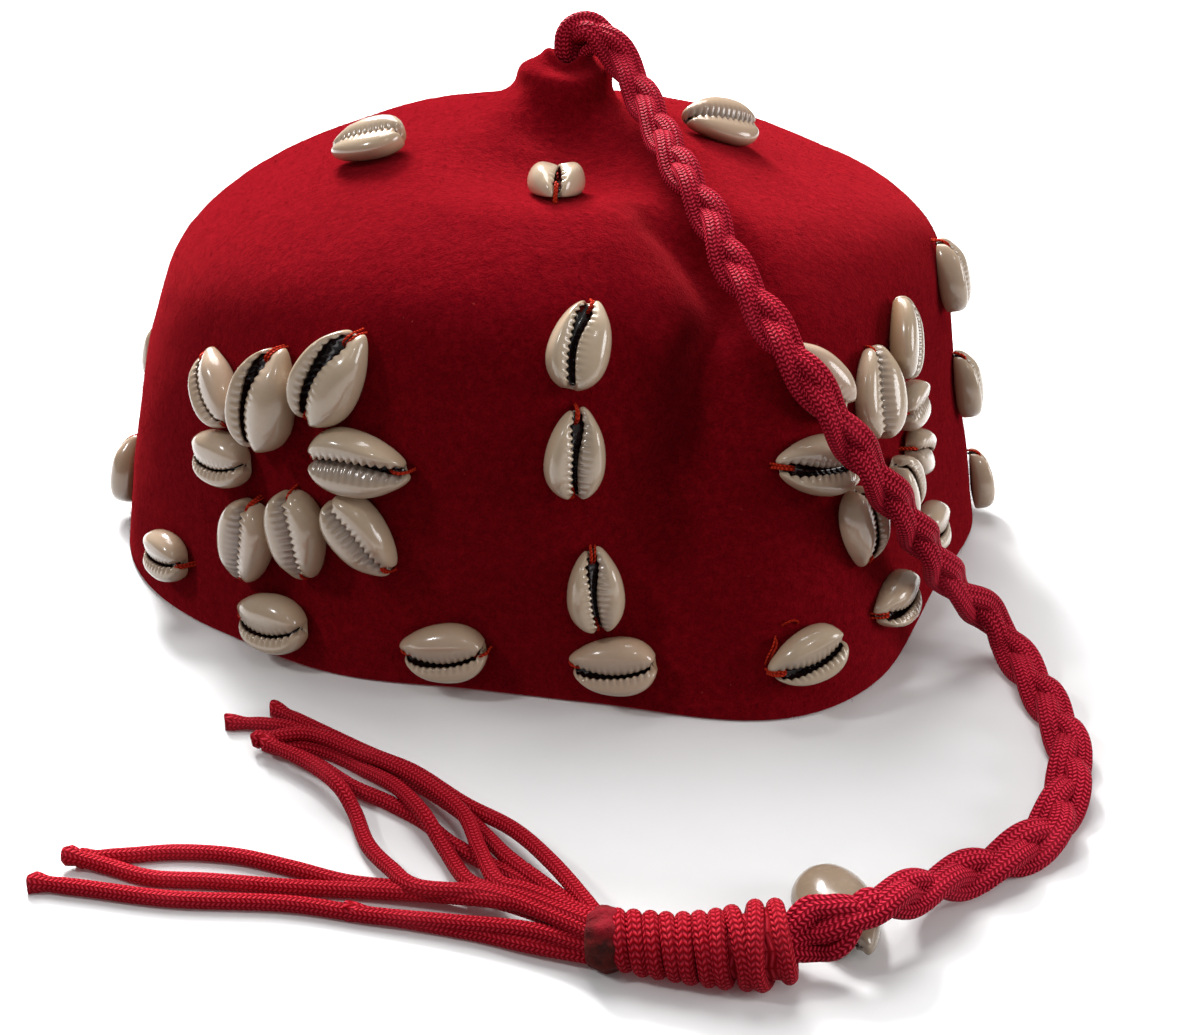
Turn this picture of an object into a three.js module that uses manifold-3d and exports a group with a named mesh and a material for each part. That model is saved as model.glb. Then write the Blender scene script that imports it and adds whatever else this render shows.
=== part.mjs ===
import * as THREE from "three";
import Module from "manifold-3d";
import { mergeVertices } from "three/addons/utils/BufferGeometryUtils.js";

// A red felt cap sewn with cowrie shells, with a plaited cord and a tassel.
// Millimetres. The rim stands on z = 0, the front faces -Y and +X is to the right.
// An angle is in degrees round the cap, from the front towards the right side.
// "Down" is the length of felt from the mouth of the nub, so it grows towards the rim.

// Felt cap
const FELT_THICKNESS = 2.8;
const CAP_SEGMENTS = 40;
const CAP_ROWS = 16;
const ROW_CROWDING = 1.3; // above 1, the rows lie closer together at the nub
const NUB_SHIFT = { x: 3, reach: 70 }; // the nub stands to the right of the rim's centre

// Outer half section of the cap, from the mouth of the nub to the rim
const CAP_PROFILE = [
  { place: "nub mouth", radius: 6.2, height: 103.5 },
  { place: "nub side", radius: 8.6, height: 100.2 },
  { place: "nub foot", radius: 12.6, height: 94.8 },
  { place: "crown centre", radius: 22, height: 91 },
  { place: "crown middle", radius: 44, height: 86.5 },
  { place: "crown edge", radius: 64, height: 78.5 },
  { place: "shoulder", radius: 76.5, height: 68 },
  { place: "upper wall", radius: 84, height: 51 },
  { place: "lower wall", radius: 90, height: 26 },
  { place: "rim", radius: 94.5, height: 0 },
];

// Dents, folds and flats of the soft felt. Each is deepest at its angle and down, and fades to
// nothing over its spread (degrees) and its reach (mm).
const FOLDS = [
  { place: "dish before the nub", angle: 0, spread: 55, down: 30, reach: 26, outward: 0, upward: -6.5 },
  { place: "crown crease", angle: 23, spread: 15, down: 60, reach: 38, outward: -3.5, upward: -3 },
  { place: "wall crease", angle: 13, spread: 14, down: 108, reach: 56, outward: -4.5, upward: 0 },
  { place: "flat front left", angle: -16, spread: 66, down: 160, reach: 90, outward: -14.5, upward: 0 },
  { place: "front right bulge", angle: 28, spread: 24, down: 158, reach: 110, outward: 6, upward: 0 },
  { place: "flat right wall", angle: 64, spread: 26, down: 134, reach: 72, outward: -6.6, upward: 0 },
  { place: "square right shoulder", angle: 88, spread: 60, down: 80, reach: 36, outward: 3.4, upward: 0 },
  { place: "low right crown", angle: 75, spread: 60, down: 47, reach: 26, outward: 0, upward: -2.8 },
  { place: "low left crown", angle: -78, spread: 70, down: 57, reach: 34, outward: 0, upward: -2.8 },
  { place: "front lobe of the rim", angle: 21, spread: 26, down: 162, reach: 46, outward: 3.6, upward: 0 },
  { place: "left lobe of the rim", angle: -29, spread: 20, down: 162, reach: 42, outward: 3, upward: 0 },
  { place: "full right rim", angle: 92, spread: 40, down: 150, reach: 52, outward: 1.2, upward: 0 },
  { place: "flat back", angle: 180, spread: 80, down: 152, reach: 100, outward: -6, upward: 0 },
];

// Cowrie shells: sizes as shares of a shell's length
const SHELL_WIDTH = 0.66;
const SHELL_HEIGHT = 0.36;
const SHELL_TAPER = 0.14; // how much wider the broad end is
const HEIGHT_TAPER = 0.1; // how much higher the broad end is
const SHELL_FOOT = 0.7; // of the half width, where a shell stands on the felt
const SHELL_SEAT_GAP = 0.5; // mm of thread between a shell and the felt

// Half way along a shell, going round it from the slit. "Across" is a share of the half width,
// positive on the side of the narrow lip, and "rise" is a share of the height.
const SHELL_SECTION = [
  { line: "slit", across: 0.12, rise: 0.66 },
  { line: "narrow lip", across: 0.28, rise: 0.94 },
  { line: "narrow shoulder", across: 0.7, rise: 0.78 },
  { line: "narrow side", across: 1, rise: 0.36 },
  { line: "narrow foot", across: SHELL_FOOT, rise: 0 },
  { line: "broad foot", across: -SHELL_FOOT, rise: 0 },
  { line: "broad side", across: -1, rise: 0.36 },
  { line: "broad shoulder", across: -0.66, rise: 0.82 },
  { line: "broad lip", across: -0.04, rise: 1 },
];
const SHELL_STATIONS = [-0.87, -0.5, 0, 0.5, 0.87]; // along the shell, from the broad end at -1

// Sewn shells. "Turn" is where the narrow end points: 0 up the felt, 90 to the right. "Sink" brings
// a shell on a sharp bend nearer to the felt, in mm, and lifts one in a dent. "Roll" is how far a
// shell with a round back leans over towards its narrow lip, in degrees.
const TOP_SHELLS = [
  { side: "front", angle: -1, down: 40, turn: 180, length: 16.2, sink: -0.2 },
  { side: "right", angle: 73, down: 31.4, turn: -36, length: 16.4, roll: 26 },
  { side: "back", angle: 178, down: 38, turn: 180, length: 16.5 },
  { side: "left", angle: -61.5, down: 40.8, turn: 228, length: 16.4, roll: 14 },
];
const FRONT_COLUMN = [
  { angle: 3.1, down: 83.4, turn: 22, length: 16 },
  { angle: 2.3, down: 102.3, turn: 7, length: 15.8 },
  { angle: 5, down: 129, turn: -2, length: 15.4 },
];
const RIGHT_COLUMN = [
  { angle: 75.5, down: 89.2, turn: 0, length: 15.3, sink: 0.3 },
  { angle: 82, down: 117.4, turn: -4, length: 15 },
  { angle: 87.5, down: 144, turn: 3, length: 14 },
];
const BACK_COLUMN = [
  { angle: 178, down: 82, turn: 3, length: 16 },
  { angle: 178, down: 101, turn: -3, length: 16 },
  { angle: 177, down: 124, turn: 0, length: 16 },
];
const LEFT_COLUMN = [
  { angle: -114, down: 95, turn: 0, length: 15.5 },
  { angle: -99, down: 119, turn: 4, length: 15.5 },
  { angle: -88, down: 141.4, turn: -3, length: 16 },
];
const COLUMNS = { front: FRONT_COLUMN, right: RIGHT_COLUMN, back: BACK_COLUMN, left: LEFT_COLUMN };
const LEFT_FLOWER = [
  { petal: "upper_left", angle: -47.4, down: 100.3, turn: -38, length: 15.2 },
  { petal: "top", angle: -37.9, down: 98.9, turn: 9, length: 19.4 },
  { petal: "upper_right", angle: -28, down: 92, turn: 27, length: 18.7 },
  { petal: "left", angle: -46.3, down: 113.2, turn: -90, length: 15.7 },
  { petal: "right", angle: -24.2, down: 107, turn: 94, length: 18.5 },
  { petal: "lower_left", angle: -41.9, down: 128.8, turn: -168, length: 17.6 },
  { petal: "bottom", angle: -33.8, down: 124.4, turn: 173, length: 17.8 },
  { petal: "lower_right", angle: -24.6, down: 121.5, turn: 143, length: 17.2 },
];
const RIGHT_FLOWER = [
  { petal: "upper_left", angle: 32.6, down: 93, turn: -35, length: 16.2 },
  { petal: "top", angle: 42.5, down: 99, turn: 20, length: 17.3, roll: 12, sink: 0.7 },
  { petal: "upper_right", angle: 50.6, down: 91.8, turn: 22, length: 15.8, roll: -14 },
  { petal: "left", angle: 31.2, down: 107.4, turn: -80, length: 16.6, sink: 0.5 },
  { petal: "right", angle: 53, down: 106, turn: 92, length: 14 },
  { petal: "lower_left", angle: 36.3, down: 120.6, turn: 178, length: 14.8 },
  { petal: "bottom", angle: 46.5, down: 120, turn: 160, length: 15 },
  { petal: "lower_right", angle: 55, down: 117.5, turn: 120, length: 14 },
];
const FRONT_RIM = [
  { angle: -58.2, down: 139.7, turn: -90, length: 14.6 },
  { angle: -38.1, down: 143.8, turn: -93, length: 16.8 },
  { angle: -14.2, down: 143.4, turn: -97, length: 16.4 },
  { angle: 7.5, down: 143.4, turn: -95, length: 15.9 },
  { angle: 27.4, down: 140.4, turn: -106, length: 14.8 },
  { angle: 42, down: 138.4, turn: -90, length: 14.8, sink: 0.6 },
  { angle: 59, down: 136, turn: -82, length: 15 },
];
const BACK_RIM = { count: 7, middle: 180, step: 19, down: 142, turn: -90, length: 16.5 };

// The two flowers at the back: petals that touch their neighbours, in mm from the flower's centre
const BACK_FLOWERS = [
  { side: "back_left", angle: -138, down: 108 },
  { side: "back_right", angle: 132, down: 108 },
];
const BACK_PETALS = [
  { across: -11.3, below: -13.2, turn: -8 },
  { across: 0, below: -14.4, turn: 0 },
  { across: 11.3, below: -13.2, turn: 8 },
  { across: -11.8, below: 0, turn: -90 },
  { across: 11.8, below: 0, turn: 90 },
  { across: -11.3, below: 13.2, turn: 188 },
  { across: 0, below: 14.4, turn: 180 },
  { across: 11.3, below: 13.2, turn: 172 },
];
const BACK_PETAL_LENGTH = 18.5;

// Plaited cord, from inside the nub over the crown and wall to the binding on the table
const BRAID_DIAMETER = 6.6;
const BRAID_SIDES = 8;
const BRAID_STEPS = 44;
const BRAID_ROUTE = [
  [3, 0, 93.5],
  [3, 0, 99],
  [2.8, -0.2, 103.2],
  [4, -0.8, 106.5],
  [7.4, -2.4, 108],
  [11.3, -5, 105.6],
  [15.4, -10.5, 100.2],
  [19.6, -23.5, 94],
  [23.6, -42, 88.8],
  [28, -53, 83.4],
  [31, -62.8, 77.8],
  [35.3, -70.9, 72.4],
  [39.8, -78.5, 66.8],
  [44.4, -83.2, 61],
  [49.6, -84.3, 53.8],
  [55.3, -83.4, 45.8],
  [61.7, -80.2, 36.8],
  [68.5, -74.8, 26.4],
  [76, -70, 15.6],
  [82.6, -67.8, 9.4],
  [86, -69.4, 5],
  [87.8, -78.8, 3.5],
  [88.6, -91, 3.5],
  [88, -104, 3.5],
  [84, -115.5, 3.5],
  [77.6, -126, 3.5],
  [69, -132.8, 3.6],
  [61.7, -137, 4.2],
  [55, -142, 6],
  [48.5, -147.6, 8.6],
  [42.8, -151.8, 9.5],
  [38.4, -154.4, 7.6],
  [34.6, -154.5, 6.8],
];
const KNOT = { x: 3, z: 88.6, radius: 7.4, halfHeight: 4.6, sides: 10, rows: 6 };

// Cowrie sewn to the cord: it lies on the table with its smooth back up
const CORD_SHELL = { x: 42, y: -143.2, z: 0.2, turn: -78, length: 18.2, height: 6 };

// Binding: the cord wound round the end of the plait
const BINDING_START = [33.7, -154.4, 6.7];
const BINDING_END = [8.8, -151.6, 4.8];
const TURN_RADII = [5.6, 6.1, 6.1, 6, 5.6, 5.3, 5.1, 5, 4.8, 4.7, 4.5]; // one for each turn of the cord
const BINDING_GROOVE = 0.7;
const ROUND_SIDES = 9;

// Tassel: loose cord ends that come out of a glued collar
const COLLAR_GAP = 0.3;
const COLLAR_LENGTH = 3.4;
const COLLAR_RADIUS = { start: 4.1, middle: 4.4, end: 3.9 };
const STRAND_DIAMETER = 2.5;
const STRAND_SIDES = 5;
const STRAND_STEPS = 9;

// Strands to the left, from the nearest to the camera side, then those that lie towards the cap
const STRANDS = [
  [[6.8, -153, 4.4], [-3, -148.1, 3.4], [-14.7, -144.8, 2.2], [-26.8, -142.2, 1.5], [-39, -139.4, 1.4],
    [-57.3, -138, 1.4], [-70, -135.5, 1.4], [-78.9, -133.8, 1.4]],
  [[6.8, -151.2, 6.4], [-3, -144.6, 5], [-15, -140.1, 3.2], [-27.3, -137.1, 1.8], [-39.6, -135.6, 1.4],
    [-52, -134, 1.4], [-61.4, -133.1, 1.4], [-68.1, -130.6, 1.6], [-75.1, -128.6, 2.4]],
  [[6.8, -150.6, 4.2], [-9, -140.5, 2.8], [-21.3, -136.6, 1.6], [-31.2, -134.6, 1.4], [-40.2, -131.1, 1.4],
    [-49.4, -128, 1.4], [-58.4, -127, 1.4], [-65.7, -127.7, 1.4], [-73.4, -128.4, 1.4]],
  [[6.8, -152.6, 2.4], [-3.5, -149.1, 1.8], [-10.6, -146.2, 1.4], [-20.7, -143.4, 1.4], [-29.8, -141.2, 1.4]],
  [[6.8, -149.2, 6.2], [-0.1, -134.3, 4.4], [-6.4, -124, 3], [-14.4, -116.1, 2], [-23.7, -106.1, 1.5],
    [-30.9, -101.2, 1.4], [-38.5, -95.5, 1.4], [-49.6, -86.9, 1.4]],
  [[6.8, -149.4, 4.8], [-0.7, -139.5, 4], [-6.9, -130.9, 2.8], [-10.9, -123.7, 1.8], [-15, -117.4, 1.4],
    [-23.5, -108.9, 1.4], [-30.6, -103.8, 1.4], [-38.1, -98.6, 1.4], [-46.6, -92.6, 1.4], [-56.9, -90.9, 1.4]],
  [[6.8, -150.4, 7], [-3.6, -142, 5.4], [-7.9, -139.1, 4.6], [-11.2, -130.7, 4], [-14.1, -121.6, 3.9],
    [-19, -115, 3.9], [-26.1, -108.1, 3.8], [-33.4, -103.1, 3.6], [-42.2, -98, 3.6], [-51.6, -97.9, 2.4]],
  [[6.8, -151.8, 7.2], [-6, -141.4, 4.6], [-12.1, -137.2, 3], [-17, -127.6, 2.4], [-20.5, -121.4, 3.9],
    [-25.8, -112.6, 3], [-31.8, -105.8, 1.6], [-39.3, -100, 1.4], [-48.7, -97.1, 1.4]],
  [[6.8, -152.8, 6.4], [-9, -141.4, 4.4], [-20.4, -138.7, 3.8], [-24.6, -132.9, 2.4], [-29, -125.8, 1.5],
    [-32.1, -117.7, 2], [-34.8, -113.7, 3.8], [-41, -106.4, 3.6], [-48.8, -100, 3]],
  [[6.8, -149.6, 3.2], [-1.3, -139.4, 3], [-9.3, -131.4, 1.6], [-16.5, -125, 1.4], [-20.6, -120, 1.4],
    [-26.9, -114.7, 1.4], [-33.3, -110.3, 1.4], [-40.1, -103.9, 1.4], [-48.1, -98.3, 1.4]],
];

const FELT_RED = new THREE.MeshStandardMaterial({ color: 0x8f0b16, roughness: 0.95, metalness: 0 });
const SHELL_CREAM = new THREE.MeshStandardMaterial({ color: 0xd9cebd, roughness: 0.25, metalness: 0 });
const CORD_PINK = new THREE.MeshStandardMaterial({ color: 0xb01a3c, roughness: 0.6, metalness: 0 });

const profileCurve = new THREE.CatmullRomCurve3(
  CAP_PROFILE.map(({ radius, height }) => new THREE.Vector3(radius, 0, height)),
);
const FELT_LENGTH = profileCurve.getLength();
const BINDING_LENGTH = new THREE.Vector3(...BINDING_START).distanceTo(new THREE.Vector3(...BINDING_END));
const { degToRad, clamp } = THREE.MathUtils;

// Cap surface

function fade(distance, reach) {
  const share = Math.min(Math.abs(distance) / reach, 1);
  return (1 + Math.cos(Math.PI * share)) / 2;
}

function angleBetween(a, b) {
  return ((a - b + 900) % 360) - 180;
}

function capPoint(angle, down) {
  const { x, z } = profileCurve.getPointAt(clamp(down / FELT_LENGTH, 0, 1));
  let radius = x;
  let height = z;
  for (const fold of FOLDS) {
    const share = fade(angleBetween(angle, fold.angle), fold.spread) * fade(down - fold.down, fold.reach);
    radius += fold.outward * share;
    height += fold.upward * share;
  }
  const turn = degToRad(angle);
  const shift = NUB_SHIFT.x * fade(down, NUB_SHIFT.reach);
  return new THREE.Vector3(shift + radius * Math.sin(turn), -radius * Math.cos(turn), height);
}

// The felt's point and directions at a place on the cap
function capFrame(angle, down) {
  const step = 1;
  const across = capPoint(angle + step, down).sub(capPoint(angle - step, down)).normalize();
  const upward = capPoint(angle, down - step).sub(capPoint(angle, down + step)).normalize();
  const outward = new THREE.Vector3().crossVectors(across, upward).normalize();
  upward.crossVectors(outward, across);
  return { point: capPoint(angle, down), across, upward, outward };
}

function closedGeometry(positions, triangles) {
  const geometry = new THREE.BufferGeometry();
  geometry.setAttribute("position", new THREE.Float32BufferAttribute(positions, 3));
  geometry.setIndex(triangles);
  geometry.computeVertexNormals();
  return geometry;
}

// One wall: the rings run down the outside, across the flat rim, up the inside and over the mouth
function feltCapGeometry() {
  const rings = [];
  for (let row = 0; row <= CAP_ROWS; row += 1) {
    rings.push({ down: FELT_LENGTH * (row / CAP_ROWS) ** ROW_CROWDING, depth: 0 });
  }
  for (let row = CAP_ROWS; row >= 0; row -= 1) {
    rings.push({ down: rings[row].down, depth: FELT_THICKNESS });
  }
  const positions = [];
  const triangles = [];
  rings.forEach(({ down, depth }, ring) => {
    const nextRing = (ring + 1) % rings.length;
    for (let segment = 0; segment < CAP_SEGMENTS; segment += 1) {
      const nextSegment = (segment + 1) % CAP_SEGMENTS;
      const { point, outward } = capFrame((360 * segment) / CAP_SEGMENTS, down);
      point.addScaledVector(outward, -depth);
      if (down === FELT_LENGTH) point.z = 0;
      positions.push(...point);
      const here = ring * CAP_SEGMENTS + segment;
      const right = ring * CAP_SEGMENTS + nextSegment;
      const below = nextRing * CAP_SEGMENTS + segment;
      const belowRight = nextRing * CAP_SEGMENTS + nextSegment;
      triangles.push(here, below, belowRight, here, belowRight, right);
    }
  });
  return closedGeometry(positions, triangles);
}

// Cowries

// One cowrie: long axis on X with the narrow end at +X, base on z = 0 and the slit up
function cowrieGeometry(length, height) {
  const positions = [-length / 2, 0, height * 0.3];
  const triangles = [];
  const lines = SHELL_SECTION.length;
  SHELL_STATIONS.forEach((station, ring) => {
    const round = Math.sqrt(1 - station * station);
    const halfWidth = 0.5 * SHELL_WIDTH * length * round * (1 - SHELL_TAPER * station);
    const ringHeight = height * Math.sqrt(round) * (1 - HEIGHT_TAPER * station);
    const lift = (height - ringHeight) * 0.3;
    SHELL_SECTION.forEach(({ across, rise }, line) => {
      positions.push((station * length) / 2, across * halfWidth, lift + rise * ringHeight);
      const nextLine = (line + 1) % lines;
      const here = 1 + ring * lines + line;
      const beside = 1 + ring * lines + nextLine;
      if (ring === 0) {
        triangles.push(0, here, beside);
      } else {
        triangles.push(here - lines, here, beside, here - lines, beside, beside - lines);
      }
      if (ring === SHELL_STATIONS.length - 1) {
        triangles.push(here, 1 + (ring + 1) * lines, beside);
      }
    });
  });
  positions.push(length / 2, 0, height * 0.3);
  return closedGeometry(positions, triangles);
}

function capShell(name, { angle, down, turn, length, sink = 0, roll = 0 }) {
  const shell = new THREE.Mesh(cowrieGeometry(length, length * SHELL_HEIGHT), SHELL_CREAM);
  const { point, across, upward, outward } = capFrame(angle, down);
  const narrowEnd = upward.multiplyScalar(Math.cos(degToRad(turn)));
  narrowEnd.addScaledVector(across, Math.sin(degToRad(turn)));
  const side = new THREE.Vector3().crossVectors(outward, narrowEnd);
  shell.quaternion.setFromRotationMatrix(new THREE.Matrix4().makeBasis(narrowEnd, side, outward));
  shell.rotateX(-degToRad(roll));
  const lift = 0.5 * SHELL_WIDTH * length * SHELL_FOOT * Math.sin(degToRad(Math.abs(roll)));
  shell.position.copy(point).addScaledVector(outward, SHELL_SEAT_GAP - sink + lift);
  shell.name = name;
  return shell;
}

// Joining of solids

const wasm = await Module();
wasm.setup();

function solidOf(mesh) {
  mesh.updateMatrix();
  const bare = mesh.geometry.clone().applyMatrix4(mesh.matrix);
  bare.deleteAttribute("normal");
  bare.deleteAttribute("uv");
  const merged = mergeVertices(bare);
  const vertProperties = merged.attributes.position.array;
  const triVerts = Uint32Array.from(merged.index.array);
  return new wasm.Manifold(new wasm.Mesh({ numProp: 3, vertProperties, triVerts }));
}

function joined(name, meshes, material) {
  const solid = meshes.map(solidOf).reduce((whole, piece) => whole.add(piece));
  const { vertProperties, triVerts } = solid.getMesh();
  const mesh = new THREE.Mesh(closedGeometry([...vertProperties], [...triVerts]), material);
  mesh.name = name;
  return mesh;
}

function backFlower({ side, angle, down }) {
  const petals = BACK_PETALS.map(({ across, below, turn }) => {
    const row = capPoint(angle, down + below);
    const degreesPerMillimetre = 180 / (Math.PI * Math.hypot(row.x, row.y));
    const place = { angle: angle + across * degreesPerMillimetre, down: down + below };
    return capShell("petal", { ...place, turn, length: BACK_PETAL_LENGTH });
  });
  return joined(`${side}_flower`, petals, SHELL_CREAM);
}

// Cord, binding and tassel

function cordMesh(name, route, diameter, sides, steps) {
  const section = new THREE.Shape().absarc(0, 0, diameter / 2, 0, 2 * Math.PI);
  const extrudePath = new THREE.CatmullRomCurve3(route.map((point) => new THREE.Vector3(...point)));
  const options = { extrudePath, steps, curveSegments: sides / 2, bevelEnabled: false };
  const mesh = new THREE.Mesh(new THREE.ExtrudeGeometry(section, options), CORD_PINK);
  mesh.name = name;
  return mesh;
}

// A round piece on the binding's axis, from rows of [mm along the axis, radius]
function turnedMesh(name, rows) {
  const start = new THREE.Vector3(...BINDING_START);
  const axis = new THREE.Vector3(...BINDING_END).sub(start).normalize();
  const outline = rows.map(([along, radius]) => new THREE.Vector2(radius, along));
  const first = new THREE.Vector2(0, outline[0].y);
  const last = new THREE.Vector2(0, outline[outline.length - 1].y);
  const mesh = new THREE.Mesh(new THREE.LatheGeometry([first, ...outline, last], ROUND_SIDES), CORD_PINK);
  mesh.quaternion.setFromUnitVectors(new THREE.Vector3(0, 1, 0), axis);
  mesh.position.copy(start);
  mesh.name = name;
  return mesh;
}

function bindingMesh() {
  const pitch = BINDING_LENGTH / TURN_RADII.length;
  const rows = [];
  TURN_RADII.forEach((crest, turn) => {
    rows.push([turn * pitch, crest - BINDING_GROOVE], [(turn + 0.5) * pitch, crest]);
  });
  rows.push([BINDING_LENGTH, TURN_RADII[TURN_RADII.length - 1] - BINDING_GROOVE]);
  return turnedMesh("binding", rows);
}

function tasselMesh() {
  const { start, middle, end } = COLLAR_RADIUS;
  const along = BINDING_LENGTH + COLLAR_GAP;
  const rows = [[along, start], [along + COLLAR_LENGTH / 2, middle], [along + COLLAR_LENGTH, end]];
  const collar = turnedMesh("collar", rows);
  const strands = STRANDS.map((route) => {
    return cordMesh("strand", route, STRAND_DIAMETER, STRAND_SIDES, STRAND_STEPS);
  });
  return joined("tassel", [collar, ...strands], CORD_PINK);
}

function knotMesh() {
  const ball = new THREE.SphereGeometry(KNOT.radius, KNOT.sides, KNOT.rows);
  const knot = new THREE.Mesh(ball, CORD_PINK);
  knot.rotation.x = Math.PI / 2;
  knot.scale.set(1, KNOT.halfHeight / KNOT.radius, 1);
  knot.position.set(KNOT.x, 0, KNOT.z);
  knot.name = "cord_knot";
  return knot;
}

function cordShellMesh() {
  const { x, y, z, turn, length, height } = CORD_SHELL;
  const shell = new THREE.Mesh(cowrieGeometry(length, height), SHELL_CREAM);
  shell.rotation.set(Math.PI, 0, degToRad(turn));
  shell.position.set(x, y, z + height);
  shell.name = "cord_shell";
  return shell;
}

// Assembly

const cap = new THREE.Group();
const feltCap = new THREE.Mesh(feltCapGeometry(), FELT_RED);
feltCap.name = "felt_cap";
cap.add(feltCap);

TOP_SHELLS.forEach((row) => cap.add(capShell(`top_shell_${row.side}`, row)));
for (const [side, rows] of Object.entries(COLUMNS)) {
  rows.forEach((row, index) => cap.add(capShell(`${side}_column_shell_${index + 1}`, row)));
}
LEFT_FLOWER.forEach((row) => cap.add(capShell(`left_flower_${row.petal}`, row)));
RIGHT_FLOWER.forEach((row) => cap.add(capShell(`right_flower_${row.petal}`, row)));
BACK_FLOWERS.forEach((row) => cap.add(backFlower(row)));
FRONT_RIM.forEach((row, index) => cap.add(capShell(`rim_shell_${index + 1}`, row)));
for (let index = 0; index < BACK_RIM.count; index += 1) {
  const angle = BACK_RIM.middle + BACK_RIM.step * (index - (BACK_RIM.count - 1) / 2);
  cap.add(capShell(`rim_shell_${FRONT_RIM.length + index + 1}`, { ...BACK_RIM, angle }));
}

const tasselCord = new THREE.Group();
tasselCord.add(knotMesh());
tasselCord.add(cordMesh("braid", BRAID_ROUTE, BRAID_DIAMETER, BRAID_SIDES, BRAID_STEPS));
tasselCord.add(cordShellMesh(), bindingMesh(), tasselMesh());

const group = new THREE.Group();
group.add(cap, tasselCord);

export default group;
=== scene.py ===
import math
from collections import namedtuple

import bpy
import numpy as np
from mathutils import Matrix, Vector, noise


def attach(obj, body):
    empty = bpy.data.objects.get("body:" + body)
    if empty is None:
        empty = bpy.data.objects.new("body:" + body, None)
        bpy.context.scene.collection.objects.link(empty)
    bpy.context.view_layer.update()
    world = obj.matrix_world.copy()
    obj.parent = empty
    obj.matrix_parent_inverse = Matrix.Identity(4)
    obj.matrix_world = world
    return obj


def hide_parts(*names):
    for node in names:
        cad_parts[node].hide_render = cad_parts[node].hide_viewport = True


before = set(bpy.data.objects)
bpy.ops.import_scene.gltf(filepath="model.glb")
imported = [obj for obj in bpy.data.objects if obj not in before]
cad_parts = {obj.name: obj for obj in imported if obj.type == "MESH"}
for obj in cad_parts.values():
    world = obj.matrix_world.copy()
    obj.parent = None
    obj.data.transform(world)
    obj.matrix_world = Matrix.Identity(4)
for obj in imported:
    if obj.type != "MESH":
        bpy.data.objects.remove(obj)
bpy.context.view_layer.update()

# Lengths in the tables are in millimetres and angles in degrees. MM turns them into metres.
MM = 0.001

# Camera, as the cap was photographed
CAMERA_PLACE = (0.89, -330.03, 158.35)
CAMERA_PITCH = 23.19
CAMERA_YAW = 1.62
CAMERA_ROLL = 0.57
CAMERA_LENS = 47.69
CAMERA_SENSOR = 36
CAMERA_SHIFT = -0.0667  # the photograph is cut so that the cap sits high in it

# Floor and lamps, in metres and watts
FLOOR_REACH = 4
WORLD_STRENGTH = 0.29
LAMPS = [  # name, place, aim, size, power
    ("overhead", (-0.1, 0.55, 1.4), (0, -0.02, 0.03), 0.9, 13.5),
    ("back_left_lamp", (-0.35, 0.95, 0.9), (0, -0.02, 0.04), 0.5, 41),
    ("right_lamp", (1.2, -0.3, 0.4), (0, -0.02, 0.04), 0.6, 7.5),
    ("left_lamp", (-0.8, -0.35, 0.85), (0, -0.03, 0.04), 0.16, 3),
    ("front_lamp", (0.25, -0.7, 1), (0, -0.03, 0.04), 0.08, 0.7),
]

# Felt cap: "angle" goes round the cap from the front, towards the viewer's right. "Down" is the
# way along the felt from the mouth of the nub, over the crown and down the wall.
FELT_THICKNESS = 2.8
FELT_COLUMNS = 300
FELT_ROWS = 150
LINING_ROWS = 50
ROW_CROWDING = 1.25  # more rows near the nub
RIM_STEPS = 8
FELT_LUMPS = [(0.35, 16, 3.1), (0.12, 5, 7.7)]  # height, size, seed
FIBRES = 26000
FIBRE_SEED = 41
FIBRE_WIDTH = 0.06
FIBRE_LENGTHS = (0.5, 1.7)
FIBRE_LEANS = (0.15, 0.9)
NUB_SHIFT = 3
NUB_SHIFT_REACH = 70
CAP_PROFILE = [  # radius, height
    (6.2, 103.5),  # nub mouth
    (8.6, 100.2),  # nub side
    (12.6, 94.8),  # nub foot
    (22, 91),  # crown centre
    (44, 86.5),  # crown middle
    (64, 78.5),  # crown edge
    (76.5, 68),  # shoulder
    (84, 51),  # upper wall
    (90, 26),  # lower wall
    (94.5, 0),  # rim
]
Fold = namedtuple("Fold", "angle spread down reach outward upward")
FOLDS = [
    Fold(0, 55, 30, 26, 0, -6.5),  # dish before the nub
    Fold(23, 15, 60, 38, -3.5, -3),  # crown crease
    Fold(13, 14, 108, 56, -4.5, 0),  # wall crease
    Fold(-16, 66, 160, 90, -14.5, 0),  # flat front left
    Fold(28, 24, 158, 110, 6, 0),  # front right bulge
    Fold(64, 26, 134, 72, -6.6, 0),  # flat right wall
    Fold(88, 60, 80, 36, 3.4, 0),  # square right shoulder
    Fold(75, 60, 47, 26, 0, -2.8),  # low right crown
    Fold(-78, 70, 57, 34, 0, -2.8),  # low left crown
    Fold(21, 26, 162, 46, 3.6, 0),  # front lobe of the rim
    Fold(-29, 20, 162, 42, 3, 0),  # left lobe of the rim
    Fold(92, 40, 150, 52, 1.2, 0),  # full right rim
    Fold(180, 80, 152, 100, -6, 0),  # flat back
]

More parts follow.
